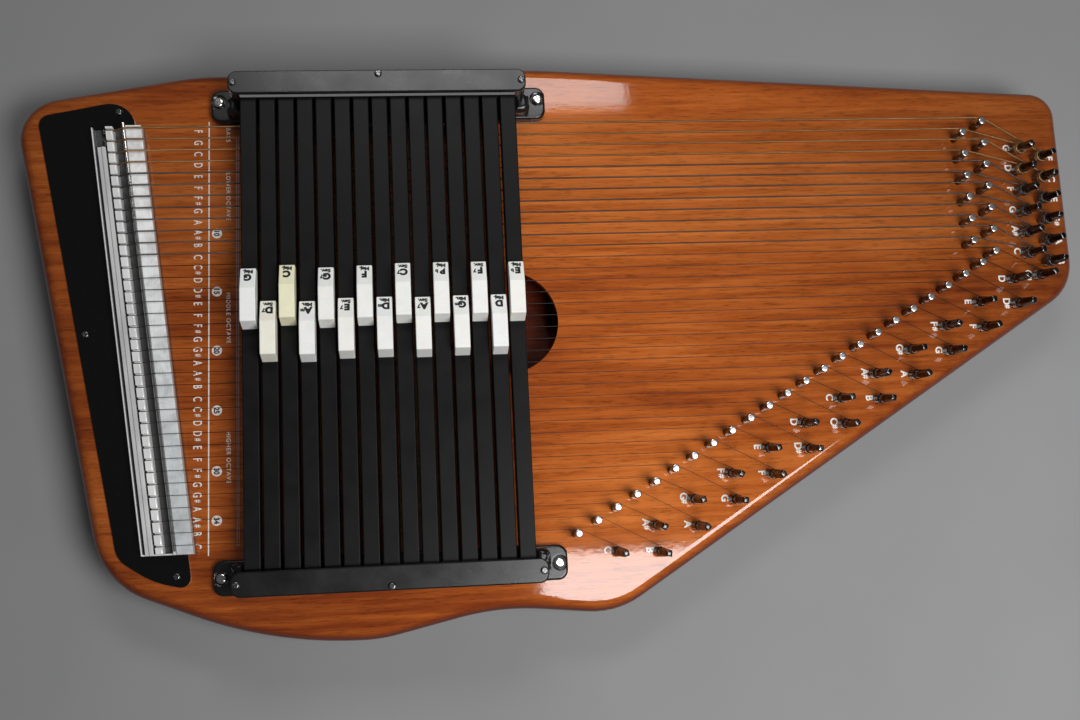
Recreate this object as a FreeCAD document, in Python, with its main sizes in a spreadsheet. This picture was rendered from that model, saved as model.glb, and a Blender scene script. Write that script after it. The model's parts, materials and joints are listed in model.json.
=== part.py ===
import FreeCAD, Part
import math
import os
import Sketcher
from FreeCAD import Placement, Rotation, Vector

# A fifteen-bar chorded zither lying on its back, in millimetres.
# Origin: centre of the outline, on the surface the rubber feet stand on.
# +X runs along the strings from the tail to the tuning pins, +Y to the bass side, +Z out of the
# soundboard.

DIMENSIONS = {
    # wooden body, from the table upward
    "foot_height": 5.0,
    "back_thickness": 4.0,
    "rim_height": 25.0,
    "top_thickness": 5.0,
    "top_roundover": 7.5,
    "back_roundover": 3.0,
    "hole_radius": 29.0,
    "hole_x": -36.8,
    "hole_y": 10.2,
    "brace_width": 8.0,
    "brace_height": 11.0,
    # strings
    "string_count": 36.0,
    "wound_count": 12.0,
    "string_pitch": 6.5,
    "first_string_y": 122.2,
    "string_height": 11.0,
    "first_guided_y": 122.0,
    "guided_pitch": 6.52,
    "bass_diameter": 1.1,
    "wound_end_diameter": 0.75,
    "plain_diameter": 0.5,
    "treble_diameter": 0.3,
    # guide pins
    "guide_radius": 2.1,
    "guide_height": 14.0,
    "guide_depth": 18.0,
    "guide_column_odd_x": 245.9,
    "guide_column_even_x": 233.5,
    "guide_diagonal_x": 237.3,
    "guide_diagonal_step": 10.97,
    "guide_chamfer": 0.3,
    # tuning pins
    "pin_radius": 2.5,
    "pin_height": 19.5,
    "pin_depth": 22.0,
    "pin_square": 3.7,
    "pin_square_height": 8.0,
    "pin_lean": 9.2,
    "pin_lean_azimuth": -33.0,
    "pin_column_x": 272.1,
    "pin_row_offset": 12.3,
    "pin_column_step": 6.33,
    "pin_diagonal_step": 10.95,
    "pin_diagonal_pitch": 6.61,
    "pin_square_taper": 0.6,
    "pin_end_taper": 0.35,
    "coil_height": 4.0,
    "coil_level": 5.0,
    # tailpiece, measured across its own leaning axis
    "tail_lean": 6.8,
    "tail_x": -261.4,
    "tail_y": 124.1,
    "tail_drop": 234.1,
    "rod_overhang": 1.5,
    "tail_width": 27.3,
    "tail_cover_thickness": 1.2,
    "channel_floor": 2.4,
    "channel_lip_height": 7.0,
    "end_lip_thickness": 0.8,
    "end_lip_height": 6.0,
    "bridge_level": 8.8,
    "bridge_rib": 0.3,
    "groove_end": 16.5,
    "groove_step": 1.4,
    "bridge_plate_thickness": 1.4,
    "bridge_plate_gap": 0.2,
    "bridge_rib_edge": 0.2,
    "bridge_rod_radius": 0.8,
    "bridge_rod_across": 17.9,
    "strip_across": 2.5,
    "strip_width": 4.4,
    "strip_level": 6.9,
    "strip_height": 1.7,
    "strip_ledge": 2.2,
    "strip_foot_width": 1.6,
    "strip_setback": 11.5,
    "anchor_across": 8.0,
    "anchor_width": 3.9,
    "anchor_top": 9.0,
    "anchor_edge_radius": 0.9,
    "slot_width": 1.3,
    "slot_depth": 2.9,
    "slot_lead": 0.25,
    "ball_radius": 1.2,
    "ball_length": 2.6,
    "ball_across": 6.2,
    "ball_level": 4.0,
    # chord bars, buttons and felt
    "bar_count": 15.0,
    "bar_pitch": 10.08,
    "bar_width": 8.7,
    "bar_height": 8.0,
    "bar_top": 26.0,
    "bar_edge_radius": 0.7,
    "bar_full_length": 252.2,
    "bar_length": 272.6,
    "tongue_drop": 2.0,
    "bars_x": -103.4,
    "bars_y": 6.55,
    "felt_thickness": 3.3,
    "felt_backing": 0.8,
    "felt_width": 7.0,
    "button_width": 8.15,
    "button_length": 31.6,
    "button_height": 10.0,
    "button_lip_height": 5.2,
    "button_crown_length": 17.4,
    "button_front_run": 2.6,
    "button_edge_radius": 0.5,
    "button_odd_y": 21.2,
    "button_even_y": 3.5,
    "peg_radius": 1.9,
    "peg_depth": 4.0,
    "peg_socket_depth": 4.2,
    "peg_gap": 0.02,
    # holders at both ends of the bars
    "holder_offset": 133.5,
    "holder_length": 187.2,
    "holder_depth": 18.9,
    "holder_setback": 0.7,
    "holder_floor": 3.0,
    "holder_corner": 5.5,
    "ear_height": 5.5,
    "ear_length": 9.2,
    "ear_edge_radius": 1.5,
    "dish_radius": 9.0,
    "dish_depth": 1.2,
    "box_length": 161.5,
    "box_depth": 12.9,
    "box_corner": 4.8,
    "box_top": 28.6,
    "slot_clearance": 0.3,
    "wall_inner": 3.0,
    "pad_level": 24.3,
    "end_block_height": 14.0,
    "end_block_reach": 11.8,
    "end_block_corner": 5.0,
    "end_block_round": 3.6,
    "cover_thickness": 2.4,
    "cover_chamfer": 0.7,
    "spring_radius": 2.4,
    "spring_wire": 0.5,
    "spring_seat": 1.5,
    "spring_y": 0.45,
    "spring_clearance": 0.2,
    "pad_clearance": 0.3,
    "head_clearance": 0.2,
    "contact_gap": 0.05,
    # fasteners and feet
    "screw_tip_gap": 0.5,
    "small_head_radius": 2.0,
    "small_head_height": 1.3,
    "small_shank_radius": 0.9,
    "small_shank_length": 10.0,
    "large_head_radius": 2.9,
    "large_head_height": 1.9,
    "large_shank_radius": 1.6,
    "large_shank_length": 16.0,
    "foot_radius": 8.0,
    "foot_tip_radius": 6.5,
    "foot_recess_radius": 3.4,
    "foot_recess_depth": 3.0,
}

# Corners of the body's outline, anticlockwise, each with the radius that rounds it.
BODY_OUTLINE = [
    (-306.8, 141.4, 23.6),
    (-256.4, -123.3, 45.9),
    (-166.7, -159.2, 235.0),
    (-110.9, -159.5, 89.4),
    (-46.5, -145.5, 140.0),
    (17.0, -152.3, 46.9),
    (300.0, 22.6, 28.9),
    (300.3, 141.8, 15.5),
    (-19.7, 161.0, 500.0),
    (-206.8, 158.1, 140.9),
]

# The black plate under the tailpiece, drawn the same way.
TAIL_COVER_OUTLINE = [
    (-291.6, 132.8, 6.0),
    (-247.0, -111.2, 14.0),
    (-228.0, -124.0, 50.0),
    (-208.2, -128.5, 5.0),
    (-240.7, 142.6, 14.0),
]

# The frame between top and back is cut into four blocks by these lines.
REACH = 175.0
FAR = 320.0
TAIL_SPLIT = [(-229.5, REACH), (-195.0, -REACH)]
PIN_SPLIT_X = 224.0
PIN_SPLIT_Y = 34.0
PIN_SPLIT_LOW_X = -22.0
PIN_SPLIT_LOW_Y = -112.0
BASS_RAIL_INNER_Y = 130.0
TREBLE_RAIL_INNER_Y = -115.0

# Braces under the soundboard: x, lowest y, highest y.
BRACES = [(-150.0, -114.0, 129.0), (60.0, -56.0, 129.0), (150.0, -3.0, 129.0)]

FOOT_PLACES = [(-262.0, 108.0), (-228.0, -92.0), (100.0, -84.0), (262.0, 108.0)]
TAIL_COVER_SCREWS = [(-247.8, 135.1), (-264.3, 9.6), (-216.3, -121.2)]
COVER_SCREW_END_X = 78.2
COVER_SCREW_MIDDLE_Y = 4.2
EAR_SCREW_X = 89.2
EAR_SCREW_Y = {1: -1.5, -1: -3.6}

# Screws in the channel's floor: how far across it, and the strings whose gaps they stand in.
CHANNEL_SCREW_ACROSS = 3.9
CHANNEL_SCREWS_AFTER = (5, 15, 26, 33)

# How far each button sits from its row towards the bass side.
BUTTON_SHIFTS = (
    -0.3, -0.3, 1.1, -1.0, -0.7, 0.2, -0.1, 0.3, 0.7, -0.3, 0.7, 0.0, 0.5, 0.0, 0.1
)

NOTES = (
    "F G C D E F F# G A A# B C C# D D# E F F# G G# A A# B C C# D D# E F F# G G# A A# B C"
).split()
SCALE = "C C# D D# E F F# G G# A A# B".split()
MAJOR = (0, 4, 7)
MINOR = (0, 3, 7)
SEVENTH = (0, 4, 7, 10)
CHORDS = [
    ("G", MAJOR),
    ("D", SEVENTH),
    ("C", MAJOR),
    ("A", MINOR),
    ("G", SEVENTH),
    ("E", SEVENTH),
    ("F", MAJOR),
    ("D", MINOR),
    ("C", SEVENTH),
    ("A", SEVENTH),
    ("A#", MAJOR),
    ("G", MINOR),
    ("F", SEVENTH),
    ("D", MAJOR),
    ("D#", MAJOR),
]

OUT_FOLDER = "parts"
TINY = 1e-6

doc = FreeCAD.newDocument("chorded_zither")
sheet = doc.addObject("Spreadsheet::Sheet", "dims")
nodes = []


# ---------------------------------------------------------------- spreadsheet

def fill_sheet():
    for row, (alias, value) in enumerate(DIMENSIONS.items(), start=1):
        sheet.set(f"A{row}", alias)
        sheet.set(f"B{row}", str(value))
        sheet.setAlias(f"B{row}", alias)
    doc.recompute()


def dim(alias):
    return float(sheet.get(alias))


def count(alias):
    return int(round(dim(alias)))


BACK_LEVEL = "dims.foot_height"
RIM_LEVEL = "dims.foot_height + dims.back_thickness"
BOARD_LEVEL = "dims.foot_height + dims.back_thickness + dims.rim_height"
TOP_LEVEL = "dims.foot_height + dims.back_thickness + dims.rim_height + dims.top_thickness"


def rim_level():
    return dim("foot_height") + dim("back_thickness")


def board_level():
    return rim_level() + dim("rim_height")


def top_level():
    return board_level() + dim("top_thickness")


# ------------------------------------------------------------ drawing helpers

def rounded_edges(corners):
    """Lines and arcs of a closed outline whose corners are (x, y, radius)."""
    edges = []
    ends = []
    total = len(corners)
    for index, (x, y, radius) in enumerate(corners):
        here = Vector(x, y, 0)
        before = Vector(*corners[index - 1][:2], 0)
        after = Vector(*corners[(index + 1) % total][:2], 0)
        back = (before - here).normalize()
        ahead = (after - here).normalize()
        half = back.getAngle(ahead) / 2
        run = radius / math.tan(half)
        bisector = (back + ahead).normalize()
        middle = here + bisector * (radius / math.sin(half) - radius)
        start = here + back * run
        finish = here + ahead * run
        if radius > TINY:
            edges.append(Part.Arc(start, middle, finish))
        ends.append((start, finish))
    for index in range(total):
        start = ends[index][1]
        finish = ends[(index + 1) % total][0]
        if start.distanceToPoint(finish) > TINY:
            edges.append(Part.LineSegment(start, finish))
    return edges


def sharp(points):
    return [(x, y, 0.0) for x, y in points]


def box_corners(low_x, low_y, high_x, high_y, radius=0.0):
    return [
        (low_x, low_y, radius),
        (high_x, low_y, radius),
        (high_x, high_y, radius),
        (low_x, high_y, radius),
    ]


def new_body(label):
    body = doc.addObject("PartDesign::Body", label)
    body.Label = label
    return body


def origin_plane(body, role):
    for feature in body.Origin.OriginFeatures:
        if feature.Role == role:
            return feature
    raise ValueError(role)


def new_sketch(body, name, role, level=0.0):
    sketch = body.newObject("Sketcher::SketchObject", name)
    sketch.AttachmentSupport = [(origin_plane(body, role), "")]
    sketch.MapMode = "FlatFace"
    sketch.AttachmentOffset = Placement(Vector(0, 0, level), Rotation())
    return sketch


def add_outline(sketch, corners):
    for edge in rounded_edges(corners):
        sketch.addGeometry(edge, False)


def add_circle(sketch, x, y, radius, formula=None):
    index = sketch.addGeometry(Part.Circle(Vector(x, y, 0), Vector(0, 0, 1), radius), False)
    constraint = sketch.addConstraint(Sketcher.Constraint("Radius", index, radius))
    if formula:
        sketch.setExpression(f"Constraints[{constraint}]", formula)
    return index


def add_pad(body, sketch, formula, middle=False):
    pad = body.newObject("PartDesign::Pad", f"{sketch.Name}_pad")
    pad.Profile = sketch
    if middle:
        pad.SideType = "Symmetric"
    pad.setExpression("Length", formula)
    doc.recompute()
    return pad


def add_pocket(body, sketch, formula=None):
    """Cut down from the sketch by the formula's depth, or right through both ways."""
    before = body.Shape.Volume
    pocket = body.newObject("PartDesign::Pocket", f"{sketch.Name}_pocket")
    pocket.Profile = sketch
    if formula is None:
        pocket.SideType = "Symmetric"
        pocket.Type = "ThroughAll"
    else:
        pocket.setExpression("Length", formula)
    doc.recompute()
    if body.Shape.Volume > before - TINY:
        raise RuntimeError(f"{pocket.Name} cuts nothing")
    return pocket


def flat_edges(shape, level):
    """Names of the edges that lie in the plane z = level."""
    names = []
    for index, edge in enumerate(shape.Edges, start=1):
        box = edge.BoundBox
        if abs(box.ZMin - level) < 1e-4 and abs(box.ZMax - level) < 1e-4:
            names.append(f"Edge{index}")
    return names


def add_edge_feature(body, kind, base, names, formula):
    feature = body.newObject(f"PartDesign::{kind}", f"{base.Name}_{kind.lower()}")
    feature.Base = (base, names)
    feature.setExpression("Size" if kind == "Chamfer" else "Radius", formula)
    doc.recompute()
    return feature


def flat_sketch(name, corners, level_formula):
    sketch = doc.addObject("Sketcher::SketchObject", name)
    add_outline(sketch, corners)
    sketch.setExpression("Placement.Base.z", level_formula)
    return sketch


def extrusion(name, corners, level_formula, height_formula):
    solid = doc.addObject("Part::Extrusion", name)
    solid.Base = flat_sketch(f"{name}_sketch", corners, level_formula)
    solid.DirMode = "Normal"
    solid.Solid = True
    solid.setExpression("LengthFwd", height_formula)
    return solid


def code_shape(label, shape, placement=None):
    feature = doc.addObject("Part::Feature", label)
    feature.Label = label
    feature.Shape = shape
    if placement is not None:
        feature.Placement = placement
    return feature


def boolean(kind, label, base, tool):
    feature = doc.addObject(f"Part::{kind}", label)
    feature.Label = label
    feature.Base = base
    feature.Tool = tool
    return feature


def compound(label, members):
    feature = doc.addObject("Part::Compound", label)
    feature.Label = label
    feature.Links = members
    return feature


def keep(node):
    nodes.append(node)
    return node


# ---------------------------------------------------------- places of strings

def string_y(number):
    return dim("first_string_y") - dim("string_pitch") * (number - 1)


def string_radius(number):
    wound = count("wound_count")
    if number <= wound:
        share = (number - 1) / (wound - 1)
        diameter = dim("bass_diameter") * (1 - share) + dim("wound_end_diameter") * share
    else:
        share = (number - wound - 1) / (count("string_count") - wound - 1)
        diameter = dim("plain_diameter") * (1 - share) + dim("treble_diameter") * share
    return diameter / 2


def all_strings():
    return range(1, count("string_count") + 1)


def guide_place(number):
    """Two staggered columns for the bass strings, then one diagonal row."""
    diagonal_start = 14
    if number >= diagonal_start:
        x = dim("guide_diagonal_x") - dim("guide_diagonal_step") * (number - diagonal_start)
    elif number % 2:
        x = dim("guide_column_odd_x")
    else:
        x = dim("guide_column_even_x")
    guided_y = dim("first_guided_y") - dim("guided_pitch") * (number - 1)
    return Vector(x, guided_y - dim("guide_radius") - string_radius(number), 0)


# The tip of the first pin of each row, for even and odd strings.
PIN_COLUMN_TIP_Y = (103.2, 98.2)
PIN_DIAGONAL_TIP_Y = (24.9, 10.4)
PIN_DIAGONAL_START = (14, 15)
PIN_CORNER = 13
PIN_CORNER_TIP = (277.6, 26.9)


def pin_tip(number):
    """Two columns of tuning pins for the bass strings, then two diagonal rows."""
    odd = number % 2
    if number == PIN_CORNER:
        return Vector(*PIN_CORNER_TIP, 0)
    if number < PIN_CORNER:
        first = 1 if odd else 2
        x = dim("pin_column_x") + dim("pin_row_offset") * odd
        y = PIN_COLUMN_TIP_Y[odd] - dim("pin_column_step") * (number - first)
        return Vector(x, y, 0)
    start = PIN_DIAGONAL_START[odd]
    corner_x = dim("pin_column_x") - dim("pin_diagonal_step")
    x = corner_x - dim("pin_diagonal_step") * (number - PIN_DIAGONAL_START[0])
    x += dim("pin_row_offset") * odd
    y = PIN_DIAGONAL_TIP_Y[odd] - dim("pin_diagonal_pitch") * (number - start)
    return Vector(x, y, 0)


def pin_turn():
    """The turn that tips an upright pin away from the pull of its string."""
    azimuth = math.radians(dim("pin_lean_azimuth"))
    hinge = Vector(-math.sin(azimuth), math.cos(azimuth), 0)
    return Rotation(hinge, dim("pin_lean"))


def pin_axis():
    return pin_turn().multVec(Vector(0, 0, 1))


def pin_point(number, height):
    """The point of a tuning pin's axis at a height above the soundboard."""
    axis = pin_axis()
    tip = pin_tip(number) + Vector(0, 0, dim("pin_height"))
    return tip - axis * ((dim("pin_height") - height) / axis.z)


def tail_placement():
    return Placement(
        Vector(dim("tail_x"), dim("tail_y"), top_level()),
        Rotation(Vector(0, 0, 1), dim("tail_lean")),
    )


def along_at(across, drop):
    """How far down the leaning tailpiece a point lies that is a drop in Y below its start."""
    lean = math.radians(dim("tail_lean"))
    return (drop + across * math.sin(lean)) / math.cos(lean)


def tail_point(across, drop, height):
    """A point across the tailpiece from its left edge and a drop in Y below its start."""
    return tail_placement().multVec(Vector(across, -along_at(across, drop), height))


def string_drop(number):
    return dim("tail_y") - string_y(number)


def gap_drop(number):
    """The middle of the gap after a string."""
    return string_drop(number) + dim("string_pitch") / 2


def level_box(low_across, high_across, low_drop, high_drop):
    """Corners, in the tailpiece's own plan, of a shape whose ends run along the strings."""
    places = [
        (low_across, high_drop),
        (high_across, high_drop),
        (high_across, low_drop),
        (low_across, low_drop),
    ]
    return sharp([(across, -along_at(across, drop)) for across, drop in places])


# --------------------------------------------------------------- hidden tools

def leaning_hole(number, clearance):
    low = pin_point(number, -dim("pin_depth") - clearance)
    low.z += top_level()
    length = (dim("pin_depth") + 2 * clearance) / pin_axis().z
    return Part.makeCylinder(dim("pin_radius") + dim("peg_gap"), length, low, pin_axis())


def guide_hole(number):
    place = guide_place(number)
    place.z = top_level() - dim("guide_depth")
    return Part.makeCylinder(
        dim("guide_radius") + dim("peg_gap"), dim("guide_depth") + 1.0, place
    )


def ear_screw_places():
    places = []
    for side in (1, -1):
        for end in (1, -1):
            x = dim("bars_x") + end * EAR_SCREW_X
            y = dim("bars_y") + side * (dim("holder_offset") + EAR_SCREW_Y[side])
            places.append(Vector(x, y, 0))
    return places


def channel_screw_places():
    places = [tail_point(CHANNEL_SCREW_ACROSS, gap_drop(number), 0) for number in CHANNEL_SCREWS_AFTER]
    return [Vector(place.x, place.y, 0) for place in places]


def tail_cover_screw_places():
    return [Vector(x, y, 0) for x, y in TAIL_COVER_SCREWS]


def screw_hole(place, radius, depth):
    """A hole into the wood, from above the soundboard's surface down to a depth."""
    low = Vector(place.x, place.y, top_level() - depth)
    return Part.makeCylinder(radius + dim("peg_gap"), depth + dim("holder_floor"), low)


def small_screw_bite():
    return dim("small_shank_length")


def top_holes():
    """Everything that is driven into the soundboard and the blocks below it."""
    clearance = 1.0
    holes = [leaning_hole(number, clearance) for number in all_strings()]
    holes += [guide_hole(number) for number in all_strings()]
    for place in ear_screw_places():
        holes.append(screw_hole(place, dim("large_shank_radius"), dim("large_shank_length")))
    for place in channel_screw_places() + tail_cover_screw_places():
        holes.append(screw_hole(place, dim("small_shank_radius"), small_screw_bite()))
    return code_shape("top_holes", Part.makeCompound(holes))


def foot_holes():
    """The foot screws' holes, up through the back into the blocks."""
    holes = []
    start = dim("foot_recess_depth")
    for x, y in FOOT_PLACES:
        radius = dim("large_shank_radius") + dim("peg_gap")
        holes.append(Part.makeCylinder(radius, dim("large_shank_length"), Vector(x, y, start)))
    return code_shape("foot_holes", Part.makeCompound(holes))


# ----------------------------------------------------------------- wooden body

def rounded_blank(name, depth_formula):
    """The body's outline with its upper edge rounded over, its top at the soundboard's surface."""
    body = new_body(name)
    sketch = new_sketch(body, f"{name}_outline", "XY_Plane")
    add_outline(sketch, BODY_OUTLINE)
    pad = add_pad(body, sketch, depth_formula)
    top = pad.Shape.BoundBox.ZMax
    add_edge_feature(body, "Fillet", pad, flat_edges(pad.Shape, top), "dims.top_roundover")
    return body


def make_soundboard(holes):
    """The board is cut from a blank deep enough to take the whole of the rounded edge."""
    depth = "dims.top_roundover + dims.back_thickness"
    blank = rounded_blank("soundboard_blank", depth)
    hole = new_sketch(blank, "sound_hole", "XY_Plane")
    add_circle(hole, dim("hole_x"), dim("hole_y"), dim("hole_radius"), "dims.hole_radius")
    add_pocket(blank, hole)
    blank.setExpression("Placement.Base.z", f"{TOP_LEVEL} - ({depth})")
    slab = extrusion("soundboard_slab", BODY_OUTLINE, BOARD_LEVEL, "dims.top_thickness")
    board = boolean("Common", "soundboard_board", blank, slab)
    return keep(boolean("Cut", "soundboard", board, holes))


def make_back(holes):
    body = new_body("back_panel_blank")
    sketch = new_sketch(body, "back_outline", "XY_Plane")
    add_outline(sketch, BODY_OUTLINE)
    pad = add_pad(body, sketch, "dims.back_thickness")
    add_edge_feature(body, "Fillet", pad, flat_edges(pad.Shape, 0.0), "dims.back_roundover")
    body.setExpression("Placement.Base.z", BACK_LEVEL)
    return keep(boolean("Cut", "back_panel", body, holes))


def tail_split_x(y):
    (high_x, high_y), (low_x, low_y) = TAIL_SPLIT
    return low_x + (high_x - low_x) * (y - low_y) / (high_y - low_y)


def frame_regions():
    top_x = tail_split_x(REACH)
    low_x = tail_split_x(-REACH)
    return {
        "tail_block": [(-FAR, -REACH), (low_x, -REACH), (top_x, REACH), (-FAR, REACH)],
        "pin_block": [
            (PIN_SPLIT_LOW_X, -REACH),
            (FAR, -REACH),
            (FAR, REACH),
            (PIN_SPLIT_X, REACH),
            (PIN_SPLIT_X, PIN_SPLIT_Y),
            (PIN_SPLIT_LOW_X, PIN_SPLIT_LOW_Y),
        ],
        "bass_rail": [
            (tail_split_x(BASS_RAIL_INNER_Y), BASS_RAIL_INNER_Y),
            (PIN_SPLIT_X, BASS_RAIL_INNER_Y),
            (PIN_SPLIT_X, REACH),
            (top_x, REACH),
        ],
        "treble_rail": [
            (low_x, -REACH),
            (PIN_SPLIT_LOW_X, -REACH),
            (PIN_SPLIT_LOW_X, TREBLE_RAIL_INNER_Y),
            (tail_split_x(TREBLE_RAIL_INNER_Y), TREBLE_RAIL_INNER_Y),
        ],
    }


def make_frame(holes, low_holes):
    blank = rounded_blank("frame_blank", "dims.rim_height + dims.top_thickness")
    blank.setExpression("Placement.Base.z", RIM_LEVEL)
    for label, points in frame_regions().items():
        region = extrusion(f"{label}_region", sharp(points), RIM_LEVEL, "dims.rim_height")
        piece = boolean("Common", f"{label}_piece", blank, region)
        drilled = boolean("Cut", f"{label}_drilled", piece, holes)
        keep(boolean("Cut", label, drilled, low_holes))


def make_braces():
    members = []
    for index, (x, low_y, high_y) in enumerate(BRACES):
        brace = doc.addObject("Part::Box", f"brace_{index}")
        brace.setExpression("Length", "dims.brace_width")
        brace.setExpression("Height", "dims.brace_height")
        brace.Width = high_y - low_y
        brace.Placement.Base = Vector(x, low_y, board_level() - dim("brace_height"))
        members.append(brace)
    return keep(compound("soundboard_braces", members))


def make_feet():
    body = new_body("rubber_foot")
    sketch = new_sketch(body, "foot_section", "XZ_Plane")
    height = dim("foot_height")
    recess = dim("foot_recess_depth")
    shank = dim("large_shank_radius") + dim("peg_gap")
    section = [
        (dim("foot_recess_radius"), 0.0, 0.0),
        (dim("foot_tip_radius"), 0.0, 1.0),
        (dim("foot_radius"), height, 0.0),
        (shank, height, 0.0),
        (shank, recess, 0.0),
        (dim("foot_recess_radius"), recess, 0.0),
    ]
    add_outline(sketch, section)
    turn = body.newObject("PartDesign::Revolution", "foot_turn")
    turn.Profile = sketch
    turn.ReferenceAxis = (sketch, ["V_Axis"])
    turn.Angle = 360.0
    doc.recompute()
    copies = []
    for x, y in FOOT_PLACES:
        foot = body.Shape.copy()
        foot.translate(Vector(x, y, 0))
        copies.append(foot)
    return keep(code_shape("rubber_feet", Part.makeCompound(copies)))


# -------------------------------------------------------------------- fasteners

def screw_shape(head_radius, head_height, shank_radius, shank_length):
    """A pan-head screw with a cross recess, its head's underside at the origin."""
    dome = head_radius * 0.45
    profile = [
        (0.0, -shank_length, 0.0),
        (shank_radius * 0.3, -shank_length, 0.0),
        (shank_radius, -shank_length + 3 * shank_radius, 0.0),
        (shank_radius, 0.0, 0.0),
        (head_radius, 0.0, 0.0),
        (head_radius, head_height, dome),
        (0.0, head_height, 0.0),
    ]
    edges = [edge.toShape() for edge in rounded_edges(profile)]
    face = Part.Face(Part.Wire(Part.__sortEdges__(edges)))
    face.rotate(Vector(0, 0, 0), Vector(1, 0, 0), 90)
    screw = face.revolve(Vector(0, 0, 0), Vector(0, 0, 1), 360)
    arm = head_radius * 1.25
    width = head_radius * 0.3
    depth = head_height * 0.65
    for size in ((arm, width), (width, arm)):
        corner = Vector(-size[0] / 2, -size[1] / 2, head_height - depth)
        screw = screw.cut(Part.makeBox(size[0], size[1], head_height, corner))
    return screw


def small_screw(shank_length):
    return screw_shape(
        dim("small_head_radius"), dim("small_head_height"), dim("small_shank_radius"), shank_length
    )


def large_screw(shank_length):
    return screw_shape(
        dim("large_head_radius"), dim("large_head_height"), dim("large_shank_radius"), shank_length
    )


def screw_group(label, screw, places, turn_step=37.0, downward=False):
    """Copies of one screw, each with its cross at a different turn."""
    copies = []
    for index, place in enumerate(places):
        copy = screw.copy()
        if downward:
            copy.rotate(Vector(0, 0, 0), Vector(1, 0, 0), 180)
        copy.rotate(Vector(0, 0, 0), Vector(0, 0, 1), turn_step * index + 20.0)
        copy.translate(place)
        copies.append(copy)
    return keep(code_shape(label, Part.makeCompound(copies)))


def make_screws():
    cover_top = top_level() + dim("tail_cover_thickness")
    places = [place + Vector(0, 0, cover_top) for place in tail_cover_screw_places()]
    bite = small_screw_bite() + dim("tail_cover_thickness")
    screw_group("tail_cover_screws", small_screw(bite - dim("screw_tip_gap")), places)

    floor = top_level() + dim("channel_floor")
    places = [place + Vector(0, 0, floor) for place in channel_screw_places()]
    bite = small_screw_bite() + dim("channel_floor")
    screw_group("tail_channel_screws", small_screw(bite - dim("screw_tip_gap")), places)

    dish = dim("ear_height") - dim("dish_depth")
    places = [place + Vector(0, 0, top_level() + dish) for place in ear_screw_places()]
    bite = dim("large_shank_length") + dish
    screw_group("holder_screws", large_screw(bite - dim("screw_tip_gap")), places)

    level = top_level() + dim("box_top") + dim("cover_thickness")
    places = [place + Vector(0, 0, level) for place in cover_screw_places()]
    screw_group("cover_screws", small_screw(dim("small_shank_length")), places)

    places = [Vector(x, y, dim("foot_recess_depth")) for x, y in FOOT_PLACES]
    length = dim("large_shank_length") - dim("screw_tip_gap")
    screw_group("foot_screws", large_screw(length), places, downward=True)


def local_cover_screws():
    return [
        Vector(-COVER_SCREW_END_X, 0, 0),
        Vector(COVER_SCREW_END_X, 0, 0),
        Vector(0, COVER_SCREW_MIDDLE_Y, 0),
    ]


def cover_screw_places():
    places = []
    for side in (1, -1):
        for local in local_cover_screws():
            x = dim("bars_x") + side * local.x
            y = dim("bars_y") + side * (dim("holder_offset") + local.y)
            places.append(Vector(x, y, 0))
    return places


# -------------------------------------------------------------------- tailpiece

def make_tail_cover():
    body = new_body("tail_cover_plate")
    sketch = new_sketch(body, "tail_cover_outline", "XY_Plane")
    add_outline(sketch, TAIL_COVER_OUTLINE)
    add_pad(body, sketch, "dims.tail_cover_thickness")
    drill = new_sketch(body, "tail_cover_drill", "XY_Plane")
    radius = dim("small_shank_radius") + dim("peg_gap")
    for place in tail_cover_screw_places() + channel_screw_places():
        add_circle(drill, place.x, place.y, radius, "dims.small_shank_radius + dims.peg_gap")
    add_pocket(body, drill)
    body.Label = "tail_cover"
    body.setExpression("Placement.Base.z", TOP_LEVEL)
    return keep(body)


def leaning_bar(label, section, low_drop=0.0, short=0.0):
    """A bar of constant section (across, height) along the tailpiece, its ends cut level."""
    body = new_body(label)
    width = dim("tail_width")
    sketch = new_sketch(body, f"{label}_section", "XZ_Plane", -width)
    add_outline(sketch, section)
    add_pad(body, sketch, "dims.tail_drop + 2 * dims.tail_width")
    ends = new_sketch(body, f"{label}_ends", "XY_Plane")
    add_outline(ends, box_corners(-FAR, -FAR, FAR, FAR))
    add_outline(ends, level_box(-width, 2 * width, low_drop, dim("tail_drop") - short))
    add_pocket(body, ends)
    body.Placement = tail_placement()
    return body


def make_tail_channel():
    base = dim("tail_cover_thickness")
    floor = dim("channel_floor")
    width = dim("tail_width")
    bridge = dim("bridge_level")
    rod = dim("bridge_rod_across")
    groove_end = dim("groove_end")
    rib_half = dim("bridge_rod_radius") + dim("bridge_rib_edge")
    rib_top = bridge + dim("bridge_rib")
    lip = dim("end_lip_thickness")
    section = [
        (0.0, base, 0.0),
        (width, base, 0.0),
        (width, bridge, 0.0),
        (rod + rib_half, bridge, 0.0),
        (rod + rib_half, rib_top, 0.0),
        (rod - rib_half, rib_top, 0.0),
        (rod - rib_half, bridge - dim("bridge_rib"), 0.0),
        (groove_end, floor + dim("groove_step"), 0.4),
        (groove_end, floor, 0.0),
        (lip, floor, 0.5),
        (lip, dim("channel_lip_height"), 0.3),
        (0.0, dim("channel_lip_height"), 0.3),
    ]
    body = leaning_bar("tail_channel", section)
    end_lip = new_sketch(body, "channel_end_lip", "XY_Plane", base)
    end = dim("tail_drop")
    add_outline(end_lip, level_box(lip / 2, rod, end - lip, end))
    add_pad(body, end_lip, "dims.end_lip_height - dims.tail_cover_thickness")
    drill = new_sketch(body, "channel_drill", "XY_Plane")
    radius = dim("small_shank_radius") + dim("peg_gap")
    for number in CHANNEL_SCREWS_AFTER:
        along = along_at(CHANNEL_SCREW_ACROSS, gap_drop(number))
        add_circle(drill, CHANNEL_SCREW_ACROSS, -along, radius)
    add_pocket(body, drill)
    return keep(body)


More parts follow.
